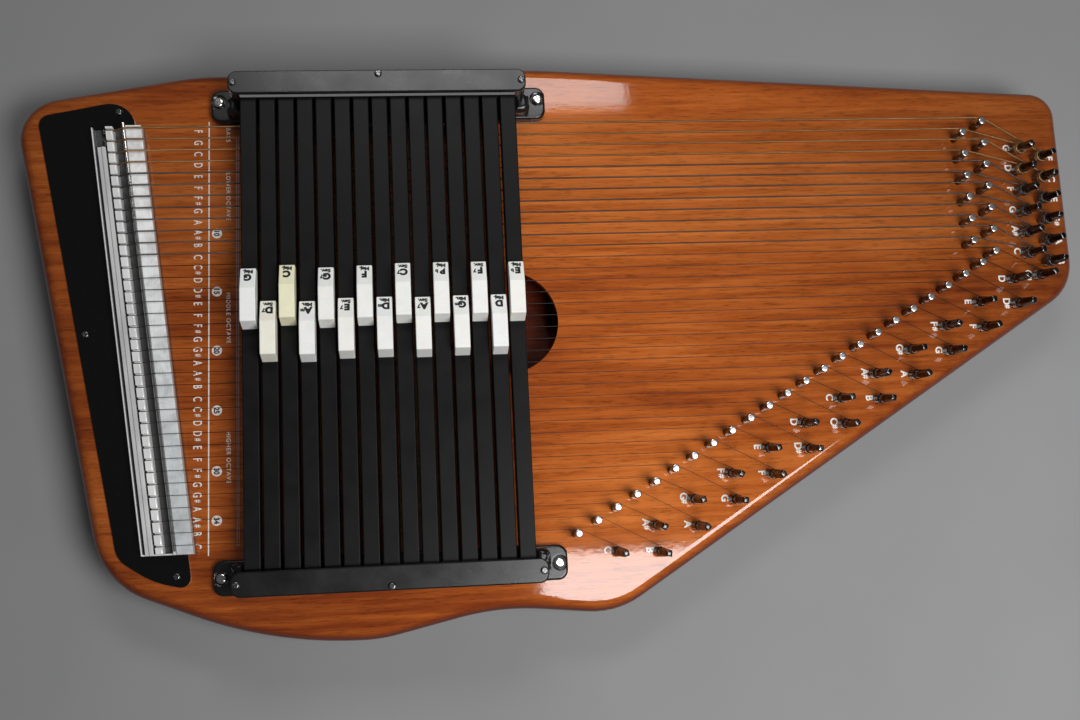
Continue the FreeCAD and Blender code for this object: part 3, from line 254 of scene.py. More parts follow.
class Shader:
    """A material whose Principled shader and texture nodes are set with short calls."""

    def __init__(self, name, **values):
        self.material = bpy.data.materials.new(name)
        self.material.use_nodes = True
        self.tree = self.material.node_tree
        self.surface = self.tree.nodes["Principled BSDF"]
        for key, value in values.items():
            self.set(key.replace("_", " ").title(), value)

    def set(self, socket, value):
        socket = self.find(socket)
        if isinstance(value, bpy.types.NodeSocket):
            self.tree.links.new(value, socket)
        elif isinstance(value, tuple) and len(socket.default_value) == 4:
            socket.default_value = (*value, 1.0)
        else:
            socket.default_value = value

    def find(self, name):
        names = {key.lower(): key for key in self.surface.inputs.keys()}
        return self.surface.inputs[names[name.lower()]]

    def node(self, kind, **inputs):
        node = self.tree.nodes.new(kind)
        for key, value in inputs.items():
            socket = node.inputs[key.replace("_", " ").title()]
            if isinstance(value, bpy.types.NodeSocket):
                self.tree.links.new(value, socket)
            else:
                socket.default_value = value
        return node

    def place(self, scale=(1, 1, 1), turn=0.0):
        """Object coordinates, scaled along each axis and turned about Z."""
        coordinates = self.node("ShaderNodeTexCoord").outputs["Object"]
        mapping = self.node("ShaderNodeMapping", Vector=coordinates, Scale=scale)
        mapping.inputs["Rotation"].default_value = (0.0, 0.0, turn)
        return mapping.outputs["Vector"]

    def noise(self, vector, scale, detail=4.0, roughness=0.5, distortion=0.0):
        return self.node(
            "ShaderNodeTexNoise",
            Vector=vector,
            Scale=scale,
            Detail=detail,
            Roughness=roughness,
            Distortion=distortion,
        ).outputs["Fac"]

    def ramp(self, factor, *stops):
        """Colours or greys at stops (position, value)."""
        node = self.node("ShaderNodeValToRGB", Fac=factor)
        elements = node.color_ramp.elements
        elements[0].position = stops[0][0]
        elements[1].position = stops[-1][0]
        for position, _ in stops[1:-1]:
            elements.new(position)
        for element, (_, value) in zip(elements, stops):
            colour = value if isinstance(value, tuple) else (value, value, value)
            element.color = (*colour, 1.0)
        return node.outputs["Color"]

    def mix(self, factor, first, second, blend="MIX"):
        node = self.tree.nodes.new("ShaderNodeMix")
        node.data_type = "RGBA"
        node.blend_type = blend
        for socket, value in zip((0, 6, 7), (factor, first, second)):
            if isinstance(value, bpy.types.NodeSocket):
                self.tree.links.new(value, node.inputs[socket])
            elif isinstance(value, tuple):
                node.inputs[socket].default_value = (*value, 1.0)
            else:
                node.inputs[socket].default_value = value
        return node.outputs[2]

    def maths(self, operation, *values):
        node = self.tree.nodes.new("ShaderNodeMath")
        node.operation = operation
        for socket, value in zip(node.inputs, values):
            if isinstance(value, bpy.types.NodeSocket):
                self.tree.links.new(value, socket)
            else:
                socket.default_value = value
        return node.outputs["Value"]

    def position(self, axis):
        """One of the object's own coordinates: X, Y or Z."""
        coordinates = self.node("ShaderNodeTexCoord").outputs["Object"]
        return self.node("ShaderNodeSeparateXYZ", Vector=coordinates).outputs[axis]

    def facing_up(self):
        """The height part of the surface's own direction: 1 on top, 0 on a side."""
        normal = self.node("ShaderNodeNewGeometry").outputs["Normal"]
        return self.node("ShaderNodeSeparateXYZ", Vector=normal).outputs["Z"]

    def bump(self, height, distance):
        return self.node("ShaderNodeBump", Height=height, Distance=distance).outputs["Normal"]


def lacquered_wood(name, dark, mid, light, stain):
    """Stained wood, grain along X and darker to both ends, under a gloss coat with slight orange peel."""
    shader = Shader(name, roughness=0.5, specular_ior_level=0.0)
    broad = shader.noise(shader.place((3.0, 14.0, 14.0)), 1.0, 3.0, 0.5, 0.6)
    grain = shader.noise(shader.place((12.0, 260.0, 260.0)), 1.0, 7.0, 0.62, 0.25)
    pores = shader.noise(shader.place((110.0, 1500.0, 1500.0)), 1.0, 3.0, 0.6)
    tone = shader.maths("ADD", shader.maths("MULTIPLY", broad, 0.55), shader.maths("MULTIPLY", grain, 0.45))
    colour = shader.ramp(tone, (0.37, dark), (0.5, mid), (0.64, light))
    pore_shade = shader.ramp(pores, (0.36, 0.55), (0.46, 1.0))
    colour = shader.mix(0.8, colour, pore_shade, "MULTIPLY")
    away = shader.maths("ABSOLUTE", shader.maths("SUBTRACT", shader.position("X"), BRIGHT_MIDDLE))
    shaded = shader.ramp(shader.maths("MULTIPLY", away, 1 / SHADED_REACH), (0.2, 1.0), (1.0, 0.50))
    colour = shader.mix(1.0, colour, shaded, "MULTIPLY")
    edge = shader.ramp(shader.facing_up(), (0.55, 0.0), (0.985, 1.0))
    shader.set("Base Color", shader.mix(edge, stain, colour))
    shader.set("Coat Weight", 1.0)
    shader.set("Coat Roughness", 0.05)
    shader.set("Coat Ior", 1.5)
    peel = shader.noise(shader.place(), 420.0, 2.0, 0.5)
    shader.set("Coat Normal", shader.bump(peel, 0.012 * MM))
    shader.set("Normal", shader.bump(pores, 0.02 * MM))
    return shader.material


def bare_spruce():
    shader = Shader("bare_spruce", roughness=0.75)
    rings = shader.noise(shader.place((260.0, 4.0, 60.0)), 1.0, 5.0, 0.55)
    shader.set("Base Color", shader.ramp(rings, (0.38, (0.46, 0.29, 0.13)), (0.62, (0.72, 0.55, 0.33))))
    shader.set("Normal", shader.bump(rings, 0.05 * MM))
    return shader.material


def polished_metal(name, colour, roughness, wear=0.08):
    shader = Shader(name, base_color=colour, metallic=1.0)
    smudge = shader.noise(shader.place(), 160.0, 4.0, 0.6)
    shader.set("Roughness", shader.ramp(smudge, (0.35, roughness), (0.7, roughness + wear)))
    fine = shader.noise(shader.place(), 900.0, 3.0, 0.6)
    shader.set("Normal", shader.bump(fine, 0.004 * MM))
    return shader.material


def turned_steel():
    """Plated steel pins: mirror sides painted dark and a top painted light, as painted reflection of the
    dim room and of the lamp above; the top is also duller.
    """
    shader = Shader("turned_steel", metallic=1.0)
    # Painted reflection: the top's colour is painted near white and the sides' colour near black.
    top = shader.ramp(shader.facing_up(), (0.4, 0.0), (0.8, 1.0))
    shader.set("Base Color", shader.mix(top, (0.14, 0.135, 0.13), (0.86, 0.85, 0.83)))
    smudge = shader.noise(shader.place(), 500.0, 4.0, 0.6)
    brushed = shader.ramp(smudge, (0.35, 0.20), (0.7, 0.34))
    shader.set("Roughness", shader.mix(top, (0.10, 0.10, 0.10), brushed))
    shader.set("Normal", shader.bump(smudge, 0.004 * MM))
    return shader.material


def bridge_metal():
    """Bright plate, brushed lengthways and clouded by old plating, painted grey at its treble end and near
    white at its bass end as a painted reflection.
    """
    shader = Shader("bridge_metal", metallic=0.0)
    clouds = shader.noise(shader.place(), 110.0, 5.0, 0.65, 0.4)
    streaks = shader.noise(shader.place((1300.0, 14.0, 1.0), -TAIL_LEAN), 1.0, 4.0, 0.6)
    # Painted reflection: the plate's colour runs from grey at the treble end to near white at the bass end.
    share = shader.maths("MULTIPLY_ADD", shader.position("Y"), 1 / BRIDGE_REACH, 0.5)
    dull, fair, bright = (0.56, 0.59, 0.60), (0.84, 0.86, 0.86), (0.98, 0.98, 0.97)
    painted_reflection_tone = shader.ramp(share, (0.1, dull), (0.5, fair), (0.8, bright))
    cloudy = shader.ramp(clouds, (0.34, 0.66), (0.60, 1.0))
    lines = shader.ramp(streaks, (0.3, 0.88), (0.7, 1.0))
    tone = shader.mix(1.0, painted_reflection_tone, cloudy, "MULTIPLY")
    shader.set("Base Color", shader.mix(1.0, tone, lines, "MULTIPLY"))
    shader.set("Roughness", shader.ramp(clouds, (0.3, 0.50), (0.7, 0.36)))
    shader.set("Normal", shader.bump(streaks, 0.012 * MM))
    return shader.material


def cast_alloy(name, low, high, roughness, metallic=0.85):
    shader = Shader(name, metallic=metallic)
    pits = shader.noise(shader.place(), 850.0, 5.0, 0.62)
    stains = shader.noise(shader.place((1, 0.3, 1)), 120.0, 3.0, 0.5)
    shader.set("Base Color", shader.mix(0.5, shader.ramp(stains, (0.3, low), (0.7, high)), high))
    shader.set("Roughness", shader.ramp(stains, (0.3, roughness), (0.7, roughness + 0.15)))
    shader.set("Normal", shader.bump(pits, 0.03 * MM))
    return shader.material


def channel_metal():
    """A casting painted darker the lower it lies, as painted shade in its channel, with its lip and other
    high edges rubbed bright.
    """
    shader = Shader("channel_metal", metallic=0.4)
    level = shader.maths("DIVIDE", shader.maths("SUBTRACT", shader.position("Z"), TOP), 10 * MM)
    # Painted shade: the colour is near black low in the channel and lightens upwards to the bright lip.
    painted_shade_and_bare_metal = shader.ramp(level, (0.22, 0.006), (0.30, 0.24), (0.52, 0.34), (0.60, 0.78))
    pits = shader.noise(shader.place(), 850.0, 5.0, 0.62)
    shader.set("Base Color", shader.mix(0.3, painted_shade_and_bare_metal, shader.ramp(pits, (0.3, 0.6), (0.7, 1.0)), "MULTIPLY"))
    shader.set("Roughness", shader.ramp(pits, (0.3, 0.34), (0.7, 0.5)))
    shader.set("Normal", shader.bump(pits, 0.01 * MM))
    return shader.material


def black_enamel():
    """Gloss black sheet with fine scratches, dust and a bright raw edge."""
    shader = Shader("black_enamel", specular_ior_level=0.0, coat_weight=1.0)
    shader.set("Coat Roughness", 0.03)
    dust = shader.ramp(shader.noise(shader.place(), 1500.0, 2.0, 0.7), (0.70, 0.003), (0.78, 0.06))
    side = shader.ramp(shader.facing_up(), (0.3, 1.0), (0.5, 0.0))
    shader.set("Base Color", shader.mix(side, dust, (0.72, 0.68, 0.62)))
    shader.set("Metallic", shader.maths("MULTIPLY", side, 0.8))
    scratches = shader.noise(shader.place((60.0, 1400.0, 1.0), 0.5), 1.0, 3.0, 0.6)
    shader.set("Roughness", shader.ramp(scratches, (0.4, 0.3), (0.75, 0.45)))
    wave = shader.noise(shader.place(), 26.0, 1.0, 0.3)
    shader.set("Coat Normal", shader.bump(wave, 0.10 * MM))
    return shader.material


def moulded_black(name, tone, roughness, shine, texture, depth):
    """Black moulding with a fine grain, rubbed a little lighter in random patches."""
    shader = Shader(name, specular_ior_level=shine)
    wear = shader.noise(shader.place(), 60.0, 4.0, 0.6)
    shade = shader.ramp(wear, (0.3, tone), (0.75, tone * 1.7))
    shader.set("Base Color", shade)
    shader.set("Roughness", shader.ramp(wear, (0.3, roughness), (0.75, roughness + 0.1)))
    grain = shader.noise(shader.place(), texture, 3.0, 0.55)
    shader.set("Normal", shader.bump(grain, depth))
    return shader.material


def ivory(name, age):
    """White moulding that yellows with age and handling."""
    shader = Shader(name, specular_ior_level=0.45)
    fresh = Vector((0.90, 0.90, 0.88))
    old = Vector((0.90, 0.86, 0.62))
    base = fresh.lerp(old, age)
    handled = shader.noise(shader.place(), 130.0, 4.0, 0.6)
    shader.set("Base Color", shader.ramp(handled, (0.3, tuple(base * 0.93)), (0.6, tuple(base))))
    shader.set("Roughness", shader.ramp(handled, (0.3, 0.38), (0.7, 0.28)))
    shader.set("Subsurface Weight", 0.12)
    shader.set("Subsurface Scale", 1.0 * MM)
    shader.set("Normal", shader.bump(shader.noise(shader.place(), 1200.0, 2.0), 0.004 * MM))
    return shader.material


def felt_cloth(name, low, high):
    shader = Shader(name, roughness=0.95, specular_ior_level=0.1)
    fibres = shader.noise(shader.place(), 1700.0, 6.0, 0.75, 1.2)
    shader.set("Base Color", shader.ramp(fibres, (0.3, low), (0.7, high)))
    shader.set("Sheen Weight", 0.6)
    shader.set("Sheen Roughness", 0.5)
    shader.set("Normal", shader.bump(fibres, 0.12 * MM))
    return shader.material


def wound_wire(name, colour):
    """Wire wrapped close round a core: a fine rib across the string's length."""
    shader = Shader(name, base_color=colour, metallic=1.0, roughness=0.38)
    turns = shader.node("ShaderNodeTexWave", Vector=shader.place(), Scale=1000.0)
    shader.set("Normal", shader.bump(turns.outputs["Fac"], 0.05 * MM))
    tarnish = shader.noise(shader.place((30.0, 400.0, 400.0)), 1.0, 4.0, 0.6)
    shade = shader.ramp(tarnish, (0.3, tuple(0.55 * c for c in colour)), (0.65, colour))
    shader.set("Base Color", shade)
    return shader.material


def blued_steel():
    """Dark oxide over steel, lighter on its sharp corners, partly as wear where a wrench touches and partly
    as painted glints.
    """
    shader = Shader("blued_steel", metallic=1.0)
    patches = shader.noise(shader.place(), 240.0, 5.0, 0.62)
    wear = shader.node("ShaderNodeNewGeometry").outputs["Pointiness"]
    # The corners' light colour is partly wear and partly painted highlight.
    bright = shader.ramp(wear, (0.53, 0.0), (0.60, 1.0))
    dark = shader.ramp(patches, (0.3, (0.035, 0.033, 0.034)), (0.7, (0.10, 0.09, 0.085)))
    shader.set("Base Color", shader.mix(bright, dark, (0.62, 0.61, 0.6)))
    shader.set("Roughness", shader.ramp(patches, (0.3, 0.16), (0.7, 0.32)))
    shader.set("Normal", shader.bump(patches, 0.02 * MM))
    return shader.material


def moulded_rubber():
    shader = Shader("moulded_rubber", roughness=0.8, specular_ior_level=0.25)
    dust = shader.noise(shader.place(), 300.0, 5.0, 0.7)
    shader.set("Base Color", shader.ramp(dust, (0.35, 0.018), (0.75, 0.06)))
    shader.set("Normal", shader.bump(dust, 0.08 * MM))
    return shader.material


def ink(name, colour, gloss=1.0):
    """Screen-printed paint, slightly thin in places, under the lacquer's gloss coat."""
    shader = Shader(name, roughness=0.45, specular_ior_level=0.4, coat_weight=gloss)
    shader.set("Coat Roughness", 0.05)
    thin = shader.noise(shader.place(), 700.0, 4.0, 0.65)
    shade = shader.ramp(thin, (0.3, tuple(0.72 * c for c in colour)), (0.55, colour))
    shader.set("Base Color", shade)
    return shader.material


def paper_floor():
    shader = Shader("paper_floor", roughness=0.85, specular_ior_level=0.2)
    mottle = shader.noise(shader.place(), 5.0, 4.0, 0.55)
    shader.set("Base Color", shader.ramp(mottle, (0.3, 0.235), (0.7, 0.26)))
    fibres = shader.noise(shader.place(), 500.0, 5.0, 0.7)
    shader.set("Normal", shader.bump(fibres, 0.04 * MM))
    return shader.material


WOOD_TOP = lacquered_wood(
    "wood_top", (0.23, 0.040, 0.007), (0.43, 0.098, 0.015), (0.62, 0.172, 0.034), (0.11, 0.012, 0.003)
)
WOOD_SIDE = lacquered_wood(
    "wood_side", (0.07, 0.012, 0.006), (0.12, 0.022, 0.009), (0.17, 0.035, 0.014), (0.09, 0.014, 0.007)
)
SPRUCE = bare_spruce()
NICKEL = polished_metal("nickel", (0.78, 0.77, 0.75), 0.10)
GUIDE_STEEL = turned_steel()
SPRING_STEEL = polished_metal("spring_steel", (0.52, 0.52, 0.53), 0.25)
BALL_STEEL = polished_metal("ball_steel", (0.10, 0.095, 0.09), 0.32)
BLACK_SCREW = polished_metal("black_screw", (0.16, 0.16, 0.16), 0.22)
ZINC = polished_metal("zinc", (0.6, 0.6, 0.57), 0.35)
# The plain wire's colour is set far darker than steel's, as painted shade for the dark surroundings it
# reflects.
PLAIN_WIRE = polished_metal("plain_wire", (0.035, 0.030, 0.027), 0.28)
BRONZE_WIRE = wound_wire("bronze_winding", (0.42, 0.24, 0.11))
GREY_WIRE = wound_wire("steel_winding", (0.14, 0.125, 0.115))
BRIDGE = bridge_metal()
ANCHOR = cast_alloy("anchor_metal", (0.6, 0.6, 0.6), (0.88, 0.88, 0.87), 0.30, 0.2)
STRIP = cast_alloy("strip_metal", (0.42, 0.42, 0.43), (0.70, 0.70, 0.69), 0.36, 0.3)
CHANNEL = channel_metal()
ENAMEL = black_enamel()
HOLDER = moulded_black("holder_plastic", 0.005, 0.18, 0.5, 900.0, 0.008 * MM)
COVER = moulded_black("cover_plastic", 0.005, 0.24, 0.55, 1400.0, 0.005 * MM)
BAR = moulded_black("bar_plastic", 0.0035, 0.38, 0.15, 1600.0, 0.006 * MM)
FELT = felt_cloth("damper_felt", (0.02, 0.02, 0.022), (0.06, 0.06, 0.062))
PAD_FELT = felt_cloth("pad_felt", (0.10, 0.10, 0.10), (0.22, 0.22, 0.21))
PIN_STEEL = blued_steel()
RUBBER = moulded_rubber()
WHITE_INK = ink("white_ink", (0.80, 0.78, 0.74))
SOFT_INK = ink("soft_ink", (0.42, 0.36, 0.36))
BLACK_INK = ink("black_ink", (0.010, 0.010, 0.012), 0.0)
BROWN_INK = ink("brown_ink", (0.07, 0.016, 0.008))
FLOOR = paper_floor()


def button_material(number):
    rng = random.Random(number)
    age = AGED_BUTTONS.get(number, rng.uniform(0.0, LITTLE_AGE))
    return ivory(f"ivory_{number:02d}", age)


# -------------------------------------------------------------------- making pieces

def soften(piece, width, segments=2):
    """Rounds a piece's sharp edges a little and evens out its shading."""
    weld = piece.modifiers.new("weld", "WELD")
    weld.merge_threshold = WELD_GAP
    flat = piece.modifiers.new("flat_faces", "DECIMATE")
    flat.decimate_type = "DISSOLVE"
    flat.angle_limit = FLAT_ANGLE
    bevel = piece.modifiers.new("soft_edges", "BEVEL")
    bevel.width = width
    bevel.segments = segments
    bevel.limit_method = "ANGLE"
    bevel.angle_limit = SHARP_ANGLE
    piece.modifiers.new("even_shading", "WEIGHTED_NORMAL")


def dress(node, material, bevel=0.0):
    """Gives a CAD node its material, and if asked softens its sharp edges."""
    piece = NODES[node]
    piece.data.materials.clear()
    piece.data.materials.append(material)
    if bevel > 0:
        soften(piece, bevel)


def add_piece(name, data, material, body, stands_for=()):
    """Puts a mesh or curve in the scene, on its body, with its material."""
    piece = bpy.data.objects.new(name, data)
    bpy.context.scene.collection.objects.link(piece)
    data.materials.clear()
    data.materials.append(material)
    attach(piece, body)
    if stands_for:
        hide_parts(*stands_for)
    return piece


def new_mesh(name, build, crisp=None):
    """A smooth mesh filled in by build(bmesh), with edges over crisp degrees kept sharp."""
    mesh = bmesh.new()
    build(mesh)
    for face in mesh.faces:
        face.smooth = True
    if crisp is not None:
        limit = math.radians(crisp)
        for edge in mesh.edges:
            edge.smooth = edge.calc_face_angle(0.0) < limit
    data = bpy.data.meshes.new(name)
    mesh.to_mesh(data)
    mesh.free()
    return data


def add_rings(mesh, rings, place):
    """Joins closed rings of points into a tube and caps both ends."""
    rows = [[mesh.verts.new(place @ point) for point in ring] for ring in rings]
    count = len(rows[0])
    for low, high in zip(rows, rows[1:]):
        for index in range(count):
            after = (index + 1) % count
            mesh.faces.new((low[index], low[after], high[after], high[index]))
    mesh.faces.new(list(reversed(rows[0])))
    mesh.faces.new(rows[-1])


def ring(radius, level, squareness=0.0, flat=1.0, corners=32):
    """A ring that blends from a circle to a square with half side flat times the radius."""
    points = []
    for index in range(corners):
        angle = 2 * math.pi * (index + 0.5) / corners
        across = Vector((math.cos(angle), math.sin(angle), 0))
        side = min(1.0, flat / max(abs(across.x), abs(across.y)))
        reach = radius * (1 - squareness + squareness * side)
        points.append(across * reach + Vector((0, 0, level)))
    return points


def upright(base, axis, turn=0.0):
    """A matrix that stands +Z along an axis at a base point."""
    lean = Z_AXIS.rotation_difference(axis).to_matrix().to_4x4()
    return Matrix.Translation(base) @ lean @ Matrix.Rotation(turn, 4, "Z")


def wires(name, paths, radii, sides=3):
    """Round wires along open paths, each with its own radius."""
    data = bpy.data.curves.new(name, "CURVE")
    data.dimensions = "3D"
    data.bevel_depth = 1.0
    data.bevel_resolution = sides
    data.use_fill_caps = True
    for path, radius in zip(paths, radii):
        spline = data.splines.new("POLY")
        spline.points.add(len(path) - 1)
        for point, place in zip(spline.points, path):
            point.co = (*place, 1.0)
            point.radius = radius
    return data


def rounded(path, radii, steps=6):
    """An open path whose inner corners are eased, each between the ends of an arc of its radius."""
    points = [path[0]]
    for before, corner, after, radius in zip(path, path[1:], path[2:], radii):
        back = (before - corner).normalized()
        ahead = (after - corner).normalized()
        half_turn = (math.pi - back.angle(ahead)) / 2
        reach = radius * math.tan(half_turn)
        start = corner + back * reach
        end = corner + ahead * reach
        for index in range(steps + 1):
            share = index / steps
            first = start.lerp(corner, share)
            second = corner.lerp(end, share)
            points.append(first.lerp(second, share))
    points.append(path[-1])
    return points


def helix(place, radius, pitch, turns, start, steps=20):
    """Points of a coil that climbs round the Z axis of a matrix. Negative turns go clockwise."""
    count = int(abs(turns) * steps)
    points = []
    for index in range(count + 1):
        done = abs(turns) * index / count
        angle = start + math.copysign(2 * math.pi * done, turns)
        points.append(place @ Vector((radius * math.cos(angle), radius * math.sin(angle), pitch * done)))
    return points


def node_islands(node):
    """A CAD node's solids as separate clean meshes, lowest first."""
    found = []
    for points in solids(node):
        keys = {tuple(round(c / WELD_GAP) for c in point) for point in points}
        mesh = bmesh.new()
        mesh.from_mesh(NODES[node].data)
        others = [v for v in mesh.verts if tuple(round(c / WELD_GAP) for c in v.co) not in keys]
        bmesh.ops.delete(mesh, geom=others, context="VERTS")
        bmesh.ops.remove_doubles(mesh, verts=mesh.verts, dist=WELD_GAP)
        bmesh.ops.dissolve_limit(mesh, angle_limit=FLAT_ANGLE, verts=mesh.verts, edges=mesh.edges)
        for face in mesh.faces:
            face.smooth = True
        data = bpy.data.meshes.new(node)
        mesh.to_mesh(data)
        mesh.free()
        found.append((span(points, Z_AXIS)[1], data))
    return [data for _, data in sorted(found, key=lambda pair: pair[0])]


# ------------------------------------------------------------------------ the pieces

def dress_body():
    dress("soundboard", WOOD_TOP)
    for node in ("back_panel", "pin_block", "tail_block", "bass_rail", "treble_rail"):
        dress(node, WOOD_SIDE)
    dress("soundboard_braces", SPRUCE, 0.8 * MM)
    dress("rubber_feet", RUBBER, 0.4 * MM)


def dress_metalwork():
    dress("tail_cover", ENAMEL, 0.15 * MM)
    dress("tail_channel", CHANNEL, 0.1 * MM)
    dress("anchor_bar", ANCHOR, 0.12 * MM)
    dress("locking_strip", STRIP, 0.1 * MM)
    dress("bridge_plate", BRIDGE, 0.1 * MM)
    dress("bridge_rod", NICKEL)
    dress("string_ends", BALL_STEEL)
    dress("tail_cover_screws", BLACK_SCREW)
    dress("tail_channel_screws", NICKEL)
    dress("cover_screws", BLACK_SCREW)
    dress("holder_screws", NICKEL)
    dress("foot_screws", ZINC)


def dress_holders():
    for end in ("bass", "treble"):
        dress(f"bar_holder_{end}", HOLDER, 0.3 * MM)
        dress(f"bar_cover_{end}", COVER, 0.3 * MM)
    dress("cover_pads", PAD_FELT)


def dress_buttons():
    for number in BARS:
        dress(f"button_{number:02d}", button_material(number))


def split_bars():
    """Each bar as a satin rail and the felt glued under it."""
    for number in BARS:
        node = f"chord_bar_{number:02d}"
        body = f"bar_{number:02d}"
        felt, rail = node_islands(node)
        strip = add_piece(f"{node}_felt", felt, FELT, body, [node])
        soften(strip, 0.25 * MM)
        top = add_piece(f"{node}_rail", rail, BAR, body, [node])
        soften(top, 0.35 * MM)


def build_springs():
    """Two coil springs under each bar, built at rest; the real ones shorten as the bar goes down."""
    centres = {}
    for points in solids("return_springs"):
        centre = middle(points)
        centres.setdefault(round(centre.x / MM), []).append(points)
    for number, column in enumerate(sorted(centres), start=1):
        pair = centres[column]
        paths = []
        for points in pair:
            low, high = span(points, Z_AXIS)
            reach = span_size(points, X_AXIS) / 2 - SPRING_WIRE / 2
            centre = middle(points)
            base = Vector((centre.x, centre.y, low + SPRING_WIRE / 2))
            pitch = (high - low - SPRING_WIRE) / SPRING_TURNS
            paths.append(helix(Matrix.Translation(base), reach, pitch, SPRING_TURNS, 0.0))
        curve = wires("spring_wire", paths, [SPRING_WIRE / 2] * len(paths), sides=1)
        holder = bpy.data.objects.new("spring_wire", curve)
        data = bpy.data.meshes.new_from_object(holder)
        bpy.data.objects.remove(holder)
        name = f"return_spring_pair_{number:02d}"
        piece = add_piece(name, data, SPRING_STEEL, ROOT, ["return_springs"])
        low, high = span(pair[0], Z_AXIS)
        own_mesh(piece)


def build_guide_pins():
    """Turned pins with a slight groove below a softly domed top."""
    # Shares of the radius and of the length.
    profile = (
        (1.00, 0.00),
        (1.00, 0.86),
        (0.96, 0.88),
        (0.96, 0.90),
        (1.00, 0.92),
        (1.00, 0.965),
        (0.97, 0.982),
        (0.91, 0.992),
        (0.70, 0.999),
        (0.35, 1.000),
    )

    def build(mesh):
        for points in solids("guide_pins"):
            centre = middle(points)
            base = Vector((centre.x, centre.y, TOP - SUNK))
            length = span(points, Z_AXIS)[1] - base.z
            radius = span_size(points, X_AXIS) / 2
            rings = [ring(radius * wide, length * up) for wide, up in profile]
            add_rings(mesh, rings, Matrix.Translation(base))

    data = new_mesh("guide_pins", build, TURNED_SHARP)
    add_piece("guide_pins_turned", data, GUIDE_STEEL, ROOT, ["guide_pins"])


def pin_facts():
    """Foot on the soundboard, length and radius of each tuning pin."""
    facts = []
    for points in solids("tuning_pins"):
        centre = middle(points)
        high = span(points, PIN_AXIS)[1]
        tip = centre + PIN_AXIS * (high - centre.dot(PIN_AXIS))
        length = (tip.z - TOP) / PIN_AXIS.z
        across = Y_AXIS.cross(PIN_AXIS).normalized()
        radius = span_size(points, across) / 2
        facts.append({"foot": tip - PIN_AXIS * length, "length": length, "radius": radius})
    return facts


def build_tuning_pins(pins):
    """Blued pins: a round shank, then a tapered square end with a domed tip."""
    # Shares of the length and of the radius, and how square the pin is there.
    stations = (
        (0.00, 1.00, 0.0),
        (0.52, 1.00, 0.0),
        (0.57, 1.00, 0.3),
        (0.61, 0.99, 0.8),
        (0.66, 0.98, 1.0),
        (0.93, 0.90, 1.0),
        (0.965, 0.87, 1.0),
        (0.985, 0.76, 0.9),
        (0.996, 0.55, 0.7),
        (1.00, 0.25, 0.3),
    )

    def build(mesh):
        for number, pin in enumerate(pins, start=1):
            foot = pin["foot"] - PIN_AXIS * SUNK
            length = pin["length"] + SUNK
            rings = [
                ring(pin["radius"] * reach, length * up, blend, PIN_FLAT, PIN_CORNERS)
                for up, reach, blend in stations
            ]
            add_rings(mesh, rings, upright(foot, PIN_AXIS, PIN_TURN_STEP * number))

    data = new_mesh("tuning_pins", build, FORGED_SHARP)
    add_piece("tuning_pins_forged", data, PIN_STEEL, ROOT, ["tuning_pins"])


def string_radius(number):
    if number <= WOUND_COUNT:
        share = (number - 1) / (WOUND_COUNT - 1)
        first, last = WOUND_DIAMETERS
    else:
        share = (number - WOUND_COUNT - 1) / (STRING_COUNT - WOUND_COUNT - 1)
        first, last = PLAIN_DIAMETERS
    return (first + (last - first) * share) / 2


def string_path(number, ball, guide, pin):
    """From the ball through its slot, over the rod, round the guide pin and up its tuning pin."""
    radius = string_radius(number)
    anchor_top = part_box("anchor_bar")[1].z
    rod_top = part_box("bridge_rod")[1].z
    slot_level = anchor_top - SLOT_DEPTH + radius
    enter = ball + X_AXIS * SLOT_START
    leave = ball + X_AXIS * SLOT_END
    enter.z = slot_level
    leave.z = slot_level
    crown = ball + X_AXIS * ROD_AWAY
    crown.z = rod_top + radius
    post = middle(guide)
    guide_radius = span_size(guide, X_AXIS) / 2
    coil = pin["foot"] + PIN_AXIS * COIL_LEVEL
    aim = Vector((coil.x - post.x, coil.y - post.y, 0)).normalized()
    outward = Vector((-aim.y, aim.x, 0))
    sideways = (Y_AXIS + outward).normalized()
    reach = guide_radius + radius
    corner = Vector((post.x, post.y, crown.z)) + sideways * (reach / sideways.dot(outward))
    lean = upright(coil, PIN_AXIS)
    coil_radius = pin["radius"] + radius
    side = lean.inverted().to_3x3() @ outward
    start = math.atan2(side.y, side.x)
    turns = COIL_TURNS + COIL_EXTRA * (1 - radius / string_radius(1))
    coil_path = helix(lean, coil_radius, 2 * radius * COIL_PACKING, -turns, start)
    coil_height = 2 * radius * COIL_PACKING * turns
    ending = coil_path[-1].lerp(lean @ Vector((0, 0, coil_height)), COIL_TAIL)
    bends = (SLOT_BEND, SLOT_BEND, ROD_RADIUS + radius, reach)
    run = rounded([ball, enter, leave, crown, corner, coil_path[0]], bends)
    return run + coil_path[1:] + [ending]


def build_strings(pins):
    balls = solids("string_ends")
    guides = solids("guide_pins")
    kinds = (
        ("bronze_strings", BRONZE_COUNT, BRONZE_WIRE, "wound_bronze", "wound_strings"),
        ("steel_wound_strings", WOUND_COUNT, GREY_WIRE, "wound_bronze", "wound_strings"),
        ("plain_wires", STRING_COUNT, PLAIN_WIRE, "plain_steel", "plain_strings"),
    )
    first = 1
    for name, last, material, slot, node in kinds:
        numbers = range(first, last + 1)
        first = last + 1
        paths = [
            string_path(n, middle(balls[n - 1]), guides[n - 1], pins[n - 1]) for n in numbers
        ]
        data = wires(name, paths, [string_radius(n) for n in numbers])
        add_piece(name, data, material, ROOT, [node])


# --------------------------------------------------------------------- printed marks

